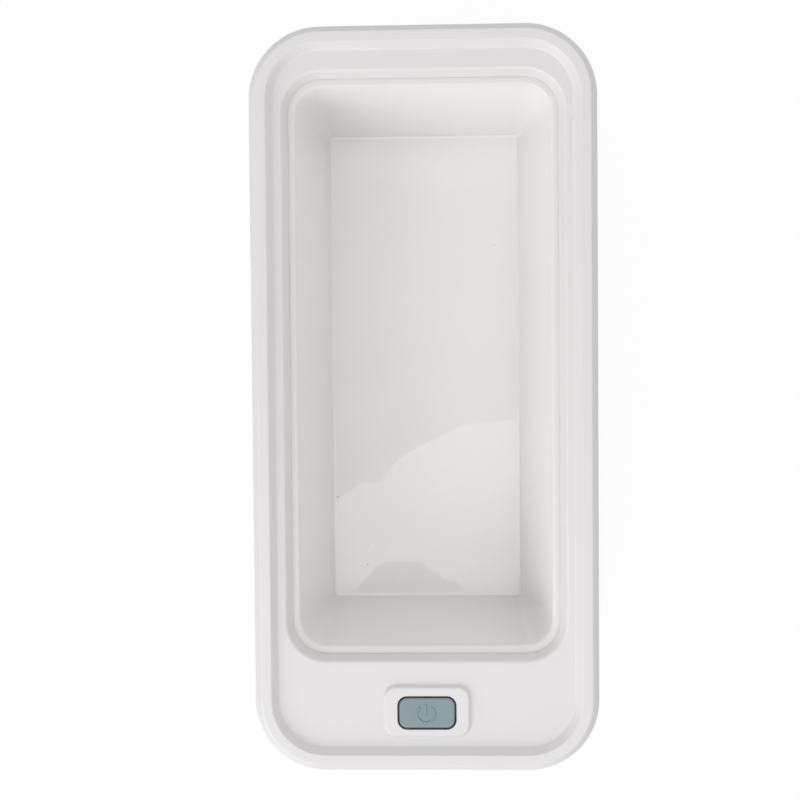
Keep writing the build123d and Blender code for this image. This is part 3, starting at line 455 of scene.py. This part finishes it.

# %% [markdown]
# ## The polished tank
# The tank's mould was polished, so the surface mirrors. What gives it away as plastic is that the mirror
# image wavers: the wall has a very shallow swell, only a few microns high. The lip round the mouth keeps
# the satin of the case, and its tone is painted darker than the tank's, partly as painted shade. The fillet
# round the floor has a coat as well, since thin bright lines run along it. Four specks sit at places of
# their own, masked by distance, since random cells would put them anywhere. At least two of the places came
# from a separate script, which carried points picked in the photograph down to the floor.

# %% Tank finish
def specks_at(tree, specks, height):
    """A mask that is 1 within each speck, given as x, y and radius."""
    where = add_node(tree, "ShaderNodeTexCoord")
    total = None
    for x, y, radius in specks:
        away = add_node(tree, "ShaderNodeVectorMath", {"operation": "DISTANCE"})
        away.inputs[1].default_value = (x, y, height)
        join(tree, where, "Object", away, 0)
        inside = add_node(tree, "ShaderNodeMath", {"operation": "LESS_THAN"})
        inside.inputs[1].default_value = radius
        join(tree, away, "Value", inside, 0)
        speck = inside.outputs["Value"]
        total = speck if total is None else combine(tree, "MAXIMUM", total, speck)
    return total


def tank_finish(floor_height, mouth_height, floor_specks, lip_band, coat_rise, coat_fall):
    """The lip's band is measured down from the mouth, and the coat's rise and fall up from the floor."""
    material, tree, surface = start_material("polished_tank")
    swell = place_group(tree, grain_group, Grain_rate=420.0, Ripple_rate=48.0, Ripple_share=0.86)
    marks = place_group(tree, marks_group, Wipe_rate=35.0)
    clean = blend_tones(tree, swell.outputs["Tone"], shade(236, 234, 233), shade(240, 238, 237))
    specks = specks_at(tree, floor_specks, floor_height)
    dotted = blend_tones(tree, specks, clean, shade(182, 168, 152))
    tree.links.new(dotted, surface.inputs["Base Color"])
    wire_range(tree, surface, "Roughness", marks.outputs["Wipe"], 0.006, 0.020)
    lip_satin_and_shade = height_mask(tree, mouth_height - lip_band[0], mouth_height - lip_band[1])
    # Painted shade, in part: the lip is painted a darker tone, close to the case's, and it also gets the
    # case's satin roughness.
    lay_over(tree, surface, "Base Color", lip_satin_and_shade, shade(227, 225, 224))
    lay_over(tree, surface, "Roughness", lip_satin_and_shade, 0.30)
    above_floor = height_mask(tree, floor_height + coat_rise[0], floor_height + coat_rise[1])
    under_wall = height_mask(tree, floor_height + coat_fall[0], floor_height + coat_fall[1])
    tree.links.new(combine(tree, "MULTIPLY", above_floor, under_wall), surface.inputs["Coat Weight"])
    surface.inputs["Coat IOR"].default_value = 1.8
    surface.inputs["Coat Roughness"].default_value = 0.01
    wire_bump(tree, surface, swell.outputs["Height"], 1.4e-5)
    return material


tank_mouth_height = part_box("tank")[1].z
tank_floor_height = 0.027
tank_specks = [
    (-0.0185, -0.0465, 1.5e-4), (-0.0187, -0.0525, 2.0e-4), (-0.0278, -0.0313, 2.6e-4),
    (0.0214, 0.0467, 1.6e-4)]
finishes["tank_plastic"] = tank_finish(
    tank_floor_height, tank_mouth_height, tank_specks, lip_band=(1.2e-3, 2e-4), coat_rise=(2e-5, 6e-5),
    coat_fall=(9e-4, 6e-4))
print("tank floor", tank_floor_height, "mouth", round(tank_mouth_height, 4), "specks", len(tank_specks))

# %% [markdown]
# ## Rubber, nylon, epoxy and the rest
# The unseen pieces get the same care, because the model is also looked at opened up. Each row of the table
# is one material: its two tones, how rough it is, its grain, and how deep that grain goes.

# %% Other plastics from one table
other_plastics = {
    "foot_rubber": (((96, 96, 98), (108, 108, 110)), (0.62, 0.74), (5200, 90, 0.25), 4.0e-5),
    "silicone": (((226, 225, 221), (233, 232, 229)), (0.42, 0.52), (2400, 120, 0.4), 2.0e-5),
    "ferrite": (((92, 91, 94), (104, 102, 105)), (0.52, 0.68), (9000, 500, 0.3), 5.0e-5),
    "bobbin_plastic": (((74, 73, 75), (84, 83, 85)), (0.38, 0.50), (4200, 200, 0.2), 2.0e-5),
    "capacitor_sleeve": (((50, 62, 118), (60, 74, 132)), (0.20, 0.30), (900, 260, 0.7), 3.0e-5),
    "film_case": (((198, 96, 70), (210, 110, 82)), (0.24, 0.34), (3600, 240, 0.4), 2.0e-5),
    "package_epoxy": (((52, 52, 55), (62, 62, 65)), (0.48, 0.60), (9000, 700, 0.3), 2.5e-5),
    "header_nylon": (((228, 225, 213), (236, 234, 224)), (0.38, 0.48), (3400, 260, 0.3), 2.0e-5),
    "plunger_plastic": (((60, 60, 60), (68, 68, 69)), (0.40, 0.50), (5200, 400, 0.3), 1.5e-5),
    "piezo_ceramic": (((222, 220, 213), (230, 228, 222)), (0.46, 0.58), (7000, 300, 0.3), 2.5e-5),
    "lead_red": (((198, 62, 56), (208, 74, 66)), (0.34, 0.44), (2600, 300, 0.4), 2.0e-5),
    "lead_black": (((54, 54, 54), (62, 62, 63)), (0.34, 0.44), (2600, 300, 0.4), 2.0e-5),
    "lead_white": (((226, 226, 223), (234, 234, 232)), (0.34, 0.44), (2600, 300, 0.4), 2.0e-5),
    "inlet_plastic": (((62, 62, 65), (70, 70, 74)), (0.34, 0.46), (3800, 160, 0.3), 2.0e-5),
}
for slot_name, (tones, rough, grain, depth) in other_plastics.items():
    finishes[slot_name] = plastic(slot_name + "_finish", tones, rough, grain, depth, speck=0.15)
print("plastics in all", len(finishes))

# %% [markdown]
# ## The cans' bare tops
# An electrolytic capacitor is an aluminium can in a printed sleeve. The sleeve only folds over its edge, so
# the middle of the top is bare metal, with a cross scored into it as a vent. Both are masks: nearness to
# each can's axis, and to two lines for the cross, at the height of the can's top.

# %% Bare tops with a scored cross
def near_axis(tree, parts, centre, reach):
    """1 where the point lies within the reach of the centre's upright axis."""
    flat = add_node(tree, "ShaderNodeCombineXYZ")
    join(tree, parts, "X", flat, "X")
    join(tree, parts, "Y", flat, "Y")
    away = add_node(tree, "ShaderNodeVectorMath", {"operation": "DISTANCE"})
    away.inputs[1].default_value = (centre.x, centre.y, 0)
    join(tree, flat, "Vector", away, 0)
    inside = add_node(tree, "ShaderNodeMath", {"operation": "LESS_THAN"})
    inside.inputs[1].default_value = reach
    join(tree, away, "Value", inside, 0)
    return inside.outputs["Value"]


def near_line(tree, parts, axis, place, half_width):
    gap = add_node(tree, "ShaderNodeMath", {"operation": "COMPARE"})
    gap.inputs[1].default_value = place
    gap.inputs[2].default_value = half_width
    join(tree, parts, axis, gap, 0)
    return gap.outputs["Value"]


def bare_tops(material, node_names, sleeve_fold, skin, score_width, score_share):
    """The score's share is of the can's radius, and the skin is how far below the top the metal starts."""
    tree = material.node_tree
    surface = surface_of(material)
    where = add_node(tree, "ShaderNodeTexCoord")
    parts = add_node(tree, "ShaderNodeSeparateXYZ")
    join(tree, where, "Object", parts, "Vector")
    tops, scores = None, None
    for node_name in node_names:
        low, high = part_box(node_name)
        centre, radius = (low + high) / 2, (high.x - low.x) / 2
        bare = near_axis(tree, parts, centre, radius - sleeve_fold)
        bare = combine(tree, "MULTIPLY", bare, height_mask(tree, high.z - 2 * skin, high.z - skin))
        cross = combine(tree, "MAXIMUM", near_line(tree, parts, "X", centre.x, score_width / 2),
                        near_line(tree, parts, "Y", centre.y, score_width / 2))
        score = combine(tree, "MULTIPLY", cross, near_axis(tree, parts, centre, score_share * radius))
        score = combine(tree, "MULTIPLY", bare, score)
        tops = bare if tops is None else combine(tree, "MAXIMUM", tops, bare)
        scores = score if scores is None else combine(tree, "MAXIMUM", scores, score)
    lay_over(tree, surface, "Base Color", tops, shade(205, 206, 208))
    lay_over(tree, surface, "Base Color", scores, shade(96, 97, 99))
    lay_over(tree, surface, "Roughness", tops, 0.34)
    tree.links.new(tops, surface.inputs["Metallic"])


cans = ("bulk_capacitor", "filter_capacitor")
bare_tops(
    finishes["capacitor_sleeve"], cans, sleeve_fold=9e-4, skin=1e-4, score_width=2.5e-4, score_share=0.62)
print("bare tops on", len(cans), "cans")

# %% [markdown]
# ## Metals
# Machined metal shows where the tool went: rings where it turned, straight lines where it was drawn or
# brushed. A third group gives both from Object coordinates, rings by the distance from an axis and lines by
# noise squeezed along one direction, and a share chooses between them. The bump reads these marks. Base
# colour and roughness read a slower stain that the same group hands out.

# %% Node group and recipe for metals
def make_tool_group():
    group, entry, way_out = new_group(
        "tool_marks", {"Centre": (0.0, 0.0, 0.0), "Ring rate": 4000.0, "Line squeeze": (1.0, 0.03, 1.0),
                       "Line rate": 2500.0, "Line share": 0.5}, ["Height", "Stain"])
    where = add_node(group, "ShaderNodeTexCoord")
    offset = add_node(group, "ShaderNodeVectorMath", {"operation": "SUBTRACT"})
    level = add_node(group, "ShaderNodeVectorMath", {"operation": "MULTIPLY"})
    level.inputs[1].default_value = (1, 1, 0)
    away = add_node(group, "ShaderNodeVectorMath", {"operation": "LENGTH"})
    turns = add_node(group, "ShaderNodeMath", {"operation": "MULTIPLY"})
    rings = add_node(group, "ShaderNodeMath", {"operation": "SINE"})
    squeeze = add_node(group, "ShaderNodeVectorMath", {"operation": "MULTIPLY"})
    lines = add_node(group, "ShaderNodeTexNoise", Detail=4.0, Roughness=0.7)
    stain = add_node(group, "ShaderNodeTexNoise", Scale=140.0, Detail=3.0, Roughness=0.6)
    pick = add_node(group, "ShaderNodeMix", {"data_type": "FLOAT"})
    join(group, where, "Object", offset, 0)
    join(group, entry, "Centre", offset, 1)
    join(group, offset, "Vector", level, 0)
    join(group, level, "Vector", away, 0)
    join(group, away, "Value", turns, 0)
    join(group, entry, "Ring rate", turns, 1)
    join(group, turns, "Value", rings, 0)
    join(group, where, "Object", squeeze, 0)
    join(group, entry, "Line squeeze", squeeze, 1)
    join(group, squeeze, "Vector", lines, "Vector")
    join(group, entry, "Line rate", lines, "Scale")
    join(group, where, "Object", stain, "Vector")
    join(group, entry, "Line share", pick, 0)
    join(group, rings, "Value", pick, 2)
    join(group, lines, "Fac", pick, 3)
    join(group, pick, 0, way_out, "Height")
    join(group, stain, "Fac", way_out, "Stain")
    return group


tool_group = make_tool_group()


def metal(name, tones, rough, line_share, squeeze, depth, centre=(0.0, 0.0, 0.0), ring_rate=5200.0):
    material, tree, surface = start_material(name)
    surface.inputs["Metallic"].default_value = 1.0
    tool = place_group(
        tree, tool_group, Centre=centre, Ring_rate=ring_rate, Line_squeeze=squeeze, Line_share=line_share)
    colour = blend_tones(tree, tool.outputs["Stain"], shade(*tones[0]), shade(*tones[1]))
    tree.links.new(colour, surface.inputs["Base Color"])
    wire_range(tree, surface, "Roughness", tool.outputs["Stain"], *rough)
    wire_bump(tree, surface, tool.outputs["Height"], depth)
    return material


plate_low, plate_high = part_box("transducer_plate")
plate_middle = tuple((plate_low + plate_high) / 2)
metals = {
    "screw_steel": ("zinc_screws", ((196, 197, 200), (216, 216, 217)), (0.24, 0.38), 1.0, (1, 1, 0.05), 6e-6),
    "sink_aluminium": (
        "drawn_heat_sink", ((206, 208, 211), (221, 222, 225)), (0.30, 0.42), 1.0, (1, 0.03, 1), 1.2e-5),
    "switch_can": (
        "pressed_switch_can", ((186, 187, 190), (204, 204, 206)), (0.26, 0.36), 1.0, (0.04, 1, 1), 5e-6),
    "plate_aluminium": (
        "turned_plate", ((210, 212, 215), (224, 225, 227)), (0.26, 0.36), 0.12, (1, 1, 1), 8e-6,
        plate_middle),
    "solder": ("tinned_solder", ((200, 201, 203), (220, 220, 221)), (0.16, 0.34), 1.0, (1, 1, 1), 4e-5),
    "contact_metal": (
        "plated_contact", ((222, 222, 222), (236, 235, 233)), (0.14, 0.22), 1.0, (1, 0.05, 1), 4e-6),
}
for slot_name, recipe in metals.items():
    finishes[slot_name] = metal(*recipe)
print("metals", len(metals), "plate middle", [round(v, 4) for v in plate_middle])

# %% [markdown]
# ## Wound wire and woven board
# Two patterns are plain sine waves. The coils are enamelled copper wound in even turns, so their height
# rises and falls in bands along Z. That is the choke's own axis. The transformer is wound along X, and the
# same bands only stand in for its turns. The circuit boards have glass cloth under green lacquer, so two
# crossed waves show faintly through it.

# %% Groups and finishes for coils and boards
def make_wave_group(name, axes):
    """Sine bands along each axis given, multiplied together, with a rate in radians per metre."""
    group, entry, way_out = new_group(name, {"Band rate": 2000.0}, ["Height", "Tone"])
    where = add_node(group, "ShaderNodeTexCoord")
    parts = add_node(group, "ShaderNodeSeparateXYZ")
    join(group, where, "Object", parts, "Vector")
    wander = add_node(group, "ShaderNodeTexNoise", Scale=260.0, Detail=2.0)
    join(group, where, "Object", wander, "Vector")
    total = None
    for axis in axes:
        angle = add_node(group, "ShaderNodeMath", {"operation": "MULTIPLY"})
        join(group, parts, axis, angle, 0)
        join(group, entry, "Band rate", angle, 1)
        wave = add_node(group, "ShaderNodeMath", {"operation": "SINE"})
        join(group, angle, "Value", wave, 0)
        bands = wave.outputs["Value"]
        total = bands if total is None else combine(group, "MULTIPLY", total, bands)
    group.links.new(total, way_out.inputs["Height"])
    join(group, wander, "Fac", way_out, "Tone")
    return group


def wave_finish(name, group, band_rate, tones, rough, depth, metallic, coat):
    material, tree, surface = start_material(name)
    surface.inputs["Metallic"].default_value = metallic
    surface.inputs["Coat Weight"].default_value = coat
    surface.inputs["Coat Roughness"].default_value = 0.12
    wave = place_group(tree, group, Band_rate=band_rate)
    colour = blend_tones(tree, wave.outputs["Tone"], shade(*tones[0]), shade(*tones[1]))
    tree.links.new(colour, surface.inputs["Base Color"])
    wire_range(tree, surface, "Roughness", wave.outputs["Tone"], *rough)
    wire_bump(tree, surface, wave.outputs["Height"], depth)
    return material


wire_turn = 4.5e-4
glass_thread = 8.0e-4
turns_group = make_wave_group("wound_turns", ("Z",))
weave_group = make_wave_group("woven_glass", ("X", "Y"))
finishes["copper"] = wave_finish(
    "wound_copper", turns_group, 2 * math.pi / wire_turn, ((206, 122, 74), (226, 146, 96)), (0.24, 0.36),
    depth=9e-5, metallic=1.0, coat=0.4)
finishes["board_laminate"] = wave_finish(
    "lacquered_board", weave_group, 2 * math.pi / glass_thread, ((36, 122, 74), (48, 140, 88)), (0.30, 0.44),
    depth=1.5e-5, metallic=0.0, coat=0.5)
print("wire turn", wire_turn, "glass thread", glass_thread)

# %% [markdown]
# ## Dress the CAD pieces
# Each CAD node came in with one plain material, named after its slot in the record. The loop below swaps
# every one for the finish made above, and says so if a slot was missed.

# %% Swap the plain materials
slot_of = {}
for node_name, node in nodes.items():
    for material_slot in node.material_slots:
        slot_of[node_name] = material_slot.material.name
        if slot_of[node_name] in finishes:
            material_slot.material = finishes[slot_of[node_name]]
missed = sorted({name for name in slot_of.values() if name not in finishes})
print("dressed", len(slot_of), "nodes; slots missed", missed)

# %% [markdown]
# ## The power sign
# The key carries a raised power sign: an open ring and a short bar, with a low domed section and round
# ends. A text object or a bevelled curve would give flat or uneven ends, so each stroke is lofted here in
# mesh code: half-ellipse sections along its middle line, shrinking like a round cap towards both ends.

# %% Raised sign on the key
def raised_stroke(mesh_edit, path, half_width, height, sides=10, tip_share=0.02):
    """Loft one domed stroke along level points, closed underneath. Its tips keep a share of the width."""
    travelled = [0.0]
    for here, after in zip(path, path[1:]):
        travelled.append(travelled[-1] + (after - here).length)
    rings = []
    for index, point in enumerate(path):
        before = path[max(index - 1, 0)]
        after = path[min(index + 1, len(path) - 1)]
        along = (after - before).normalized()
        across = Vector((-along.y, along.x, 0))
        to_end = min(travelled[index], travelled[-1] - travelled[index])
        reach = min(to_end / half_width, 1.0)
        swell = math.sqrt(max(1 - (1 - reach) ** 2, tip_share ** 2))
        ring = []
        for side in range(sides + 1):
            angle = math.pi * side / sides
            offset = across * (half_width * swell * math.cos(angle))
            lift = Vector((0, 0, height * swell * math.sin(angle)))
            ring.append(mesh_edit.verts.new(point + offset + lift))
        rings.append(ring)
    for ring, following in zip(rings, rings[1:]):
        for a, b, c, d in zip(ring, ring[1:], following[1:], following):
            mesh_edit.faces.new((a, b, c, d))
        mesh_edit.faces.new((ring[-1], ring[0], following[0], following[-1]))
    mesh_edit.faces.new(list(reversed(rings[0])))
    mesh_edit.faces.new(rings[-1])


def eased_path(point_at, steps):
    """Points along a path, closer together near its ends, where the round caps are."""
    return [point_at(0.5 - 0.5 * math.cos(math.pi * step / steps)) for step in range(steps + 1)]


def make_power_sign(centre, top, ring_radius, open_degrees, bar, half_width, height, ring_steps, bar_steps):
    start = math.radians(90 + open_degrees)
    sweep = math.radians(360 - 2 * open_degrees)

    def on_ring(share):
        angle = start + sweep * share
        x = centre[0] + ring_radius * math.cos(angle)
        y = centre[1] + ring_radius * math.sin(angle)
        return Vector((x, y, top))

    def on_bar(share):
        return Vector((centre[0], centre[1] + bar[0] + (bar[1] - bar[0]) * share, top))

    mesh_edit = bmesh.new()
    raised_stroke(mesh_edit, eased_path(on_ring, ring_steps), half_width, height)
    raised_stroke(mesh_edit, eased_path(on_bar, bar_steps), half_width, height)
    bmesh.ops.recalc_face_normals(mesh_edit, faces=mesh_edit.faces)
    mesh = bpy.data.meshes.new("power_sign")
    mesh_edit.to_mesh(mesh)
    mesh_edit.free()
    for face in mesh.polygons:
        face.use_smooth = True
    sign = bpy.data.objects.new("power_sign", mesh)
    bpy.context.scene.collection.objects.link(sign)
    return sign


key_middle = (key_low + key_high) / 2
sign_sink = 2e-5
sign_offset = (3.6e-4, 2.8e-4)
sign = make_power_sign(
    (key_middle.x - sign_offset[0], key_middle.y - sign_offset[1]), key_high.z - sign_sink,
    ring_radius=0.00243, open_degrees=36, bar=(-0.0007, 0.0029), half_width=0.00038, height=0.00028,
    ring_steps=72, bar_steps=24)
sign.data.materials.append(finishes["button_plastic"])
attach(sign, "button")
print("sign faces", len(sign.data.polygons), "key top", round(key_high.z, 4))

# %% [markdown]
# ## Screws, by Geometry Nodes
# The CAD screws have a plain shank and a bevelled head, with a cross in the case screws alone. The real
# ones have a domed head with a cross recess, and a thread. Since the same screw repeats at every boss, one
# Geometry Nodes tree makes it once from its sizes and instances it on a point for each place. The places
# and sizes are measured from the CAD screws, so nothing is written twice. Each screw is turned by its own
# seeded angle, as screws end up in real life.

# %% Measure the CAD screws
merge_distance = 1e-6
level_band = 1e-5
head_edge_share = 0.98


def screw_places(node_name):
    """For each screw: x, y, height of its seat, head radius and height, shank radius and length."""
    mesh_edit = bmesh.new()
    mesh_edit.from_mesh(nodes[node_name].data)
    bmesh.ops.remove_doubles(mesh_edit, verts=mesh_edit.verts, dist=merge_distance)
    left = set(mesh_edit.verts)
    screws = []
    while left:
        island, waiting = set(), [left.pop()]
        while waiting:
            vert = waiting.pop()
            island.add(vert)
            for edge in vert.link_edges:
                other = edge.other_vert(vert)
                if other in left:
                    left.remove(other)
                    waiting.append(other)
        xs, ys, zs = zip(*(vert.co for vert in island))
        centre = Vector(((min(xs) + max(xs)) / 2, (min(ys) + max(ys)) / 2))
        head = (max(xs) - min(xs)) / 2
        seat = max(vert.co.z for vert in island if (vert.co.xy - centre).length > head_edge_share * head)
        shank = max((vert.co.xy - centre).length for vert in island if vert.co.z > max(zs) - level_band)
        screws.append((centre.x, centre.y, seat, head, seat - min(zs), shank, max(zs) - seat))
    mesh_edit.free()
    return sorted(screws)


for node_name in ("case_screws", "tank_screws"):
    found = screw_places(node_name)
    sizes = [round(size * 1000, 2) for size in found[0][3:]]
    print(node_name, len(found), "head radius and height, shank radius and length in mm", sizes)

# %% [markdown]
# The tree below builds the screw with its head towards -Z, because both sets of screws are driven from
# below. The head is a stack of cones merged to a dome, and two crossed bars are cut out of it. The thread
# is a three-sided wire on a spiral around a thinner core.

# %% The screw tree
def make_screw_tree(dome, cross, ring_count, thread_sides, turn_steps, core_share, tip_share, threaded_share):
    """Dome and cross are in head radii and heights. The core's share is of the shank's radius, the tip's
    share of the core's, and the threaded share of the shank's length."""
    tree = bpy.data.node_groups.new("pan_head_screws", "GeometryNodeTree")
    tree.interface.new_socket("Places", in_out="INPUT", socket_type="NodeSocketGeometry")
    for name in ("Head radius", "Head height", "Shank radius", "Shank length", "Pitch"):
        tree.interface.new_socket(name, in_out="INPUT", socket_type="NodeSocketFloat")
    tree.interface.new_socket("Seed", in_out="INPUT", socket_type="NodeSocketInt")
    tree.interface.new_socket("Finish", in_out="INPUT", socket_type="NodeSocketMaterial")
    tree.interface.new_socket("Screws", in_out="OUTPUT", socket_type="NodeSocketGeometry")
    entry = tree.nodes.new("NodeGroupInput")
    way_out = tree.nodes.new("NodeGroupOutput")

    def work_out(operation, first, second):
        node = add_node(tree, "ShaderNodeMath", {"operation": operation})
        for index, value in enumerate((first, second)):
            if isinstance(value, (int, float)):
                node.inputs[index].default_value = value
            else:
                tree.links.new(value, node.inputs[index])
        return node.outputs[0]

    def vector_of(x, y, z):
        node = add_node(tree, "ShaderNodeCombineXYZ")
        for axis, value in zip("XYZ", (x, y, z)):
            if isinstance(value, (int, float)):
                node.inputs[axis].default_value = value
            else:
                tree.links.new(value, node.inputs[axis])
        return node.outputs[0]

    head_pieces = add_node(tree, "GeometryNodeJoinGeometry")
    for (low_radius, low), (high_radius, high) in zip(dome, dome[1:]):
        ring = add_node(tree, "GeometryNodeMeshCone", {"fill_type": "NONE"}, Vertices=ring_count,
                        Radius_Top=high_radius, Radius_Bottom=low_radius, Depth=high - low)
        lift = add_node(tree, "GeometryNodeTransform", Translation=(0, 0, low))
        join(tree, ring, "Mesh", lift, "Geometry")
        join(tree, lift, "Geometry", head_pieces, "Geometry")
    seat = add_node(
        tree, "GeometryNodeMeshCircle", {"fill_type": "NGON"}, Vertices=ring_count, Radius=dome[0][0])
    seat_down = add_node(tree, "GeometryNodeFlipFaces")
    join(tree, seat, "Mesh", seat_down, "Mesh")
    join(tree, seat_down, "Mesh", head_pieces, "Geometry")
    closed_head = add_node(tree, "GeometryNodeMergeByDistance", Distance=1e-4)
    join(tree, head_pieces, "Geometry", closed_head, "Geometry")
    cut = add_node(tree, "GeometryNodeMeshBoolean", {"operation": "DIFFERENCE", "solver": "EXACT"})
    join(tree, closed_head, "Geometry", cut, "Mesh 1")
    bar_length, bar_width, bar_depth = cross
    for size in ((bar_length, bar_width, bar_depth), (bar_width, bar_length, bar_depth)):
        bar = add_node(tree, "GeometryNodeMeshCube", Size=size)
        place = add_node(tree, "GeometryNodeTransform", Translation=(0, 0, 1.0))
        join(tree, bar, "Mesh", place, "Geometry")
        join(tree, place, "Geometry", cut, "Mesh 2")
    head_size = add_node(tree, "GeometryNodeTransform", Rotation=(math.pi, 0, 0))
    join(tree, cut, "Mesh", head_size, "Geometry")
    head_radius = entry.outputs["Head radius"]
    head_scale = vector_of(head_radius, head_radius, entry.outputs["Head height"])
    tree.links.new(head_scale, head_size.inputs["Scale"])

    core_radius = work_out("MULTIPLY", entry.outputs["Shank radius"], core_share)
    core = add_node(tree, "GeometryNodeMeshCone", {"fill_type": "NGON"}, Vertices=ring_count)
    tree.links.new(work_out("MULTIPLY", core_radius, tip_share), core.inputs["Radius Top"])
    tree.links.new(core_radius, core.inputs["Radius Bottom"])
    join(tree, entry, "Shank length", core, "Depth")
    spiral = add_node(tree, "GeometryNodeCurveSpiral", Resolution=turn_steps)
    thread_length = work_out("MULTIPLY", entry.outputs["Shank length"], threaded_share)
    tree.links.new(work_out("DIVIDE", thread_length, entry.outputs["Pitch"]), spiral.inputs["Rotations"])
    tree.links.new(core_radius, spiral.inputs["Start Radius"])
    tree.links.new(core_radius, spiral.inputs["End Radius"])
    tree.links.new(thread_length, spiral.inputs["Height"])
    wire = add_node(tree, "GeometryNodeCurvePrimitiveCircle", Resolution=thread_sides)
    wire_radius = work_out("SUBTRACT", entry.outputs["Shank radius"], core_radius)
    tree.links.new(wire_radius, wire.inputs["Radius"])
    thread = add_node(tree, "GeometryNodeCurveToMesh")
    thread.inputs["Fill Caps"].default_value = True
    join(tree, spiral, "Curve", thread, "Curve")
    join(tree, wire, "Curve", thread, "Profile Curve")
    thread_up = add_node(tree, "GeometryNodeTransform")
    join(tree, thread, "Mesh", thread_up, "Geometry")
    tree.links.new(vector_of(0, 0, entry.outputs["Pitch"]), thread_up.inputs["Translation"])

    screw = add_node(tree, "GeometryNodeJoinGeometry")
    join(tree, head_size, "Geometry", screw, "Geometry")
    join(tree, core, "Mesh", screw, "Geometry")
    join(tree, thread_up, "Geometry", screw, "Geometry")
    turn = add_node(tree, "FunctionNodeRandomValue", {"data_type": "FLOAT"})
    turn.inputs[3].default_value = 2 * math.pi
    join(tree, entry, "Seed", turn, "Seed")
    place_all = add_node(tree, "GeometryNodeInstanceOnPoints")
    join(tree, entry, "Places", place_all, "Points")
    join(tree, screw, "Geometry", place_all, "Instance")
    tree.links.new(vector_of(0, 0, turn.outputs[1]), place_all.inputs["Rotation"])
    realize = add_node(tree, "GeometryNodeRealizeInstances")
    finish = add_node(tree, "GeometryNodeSetMaterial")
    join(tree, place_all, "Instances", realize, "Geometry")
    join(tree, realize, "Geometry", finish, "Geometry")
    join(tree, entry, "Finish", finish, "Material")
    join(tree, finish, "Geometry", way_out, "Screws")
    return tree


dome_profile = [(1.0, 0.0), (1.0, 0.38), (0.95, 0.60), (0.83, 0.80), (0.62, 0.93), (0.34, 0.99), (0.0, 1.0)]
screw_tree = make_screw_tree(
    dome_profile, cross=(1.05, 0.24, 1.1), ring_count=28, thread_sides=3, turn_steps=18, core_share=0.8,
    tip_share=0.82, threaded_share=0.86)
print("screw tree nodes", len(screw_tree.nodes))

# %% [markdown]
# A modifier's inputs are known by identifiers, not by name, so they are looked up in the tree's interface
# before the object is evaluated. The result is then taken as a plain mesh, and the modifier goes with its
# helper object.

# %% Make both sets of screws
def make_screws(node_name, piece_name, pitch, seed):
    found = screw_places(node_name)
    mesh = bpy.data.meshes.new(piece_name + "_places")
    mesh.from_pydata([screw[:3] for screw in found], [], [])
    helper = bpy.data.objects.new(piece_name + "_places", mesh)
    bpy.context.scene.collection.objects.link(helper)
    modifier = helper.modifiers.new("screws", "NODES")
    modifier.node_group = screw_tree
    values = dict(zip(("Head radius", "Head height", "Shank radius", "Shank length"), found[0][3:]))
    values.update({"Pitch": pitch, "Seed": seed, "Finish": finishes["screw_steel"]})
    for item in screw_tree.interface.items_tree:
        if item.item_type == "SOCKET" and item.in_out == "INPUT" and item.name in values:
            modifier[item.identifier] = values[item.name]
    evaluated = helper.evaluated_get(bpy.context.evaluated_depsgraph_get())
    made = bpy.data.meshes.new_from_object(evaluated)
    bpy.data.objects.remove(helper)
    piece = bpy.data.objects.new(piece_name, made)
    bpy.context.scene.collection.objects.link(piece)
    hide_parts(node_name)
    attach(piece, "housing")
    print(piece_name, len(found), "screws", len(made.polygons), "faces")
    return piece


make_screws("case_screws", "threaded_case_screws", pitch=0.0012, seed=4)
make_screws("tank_screws", "threaded_tank_screws", pitch=0.0010, seed=7)
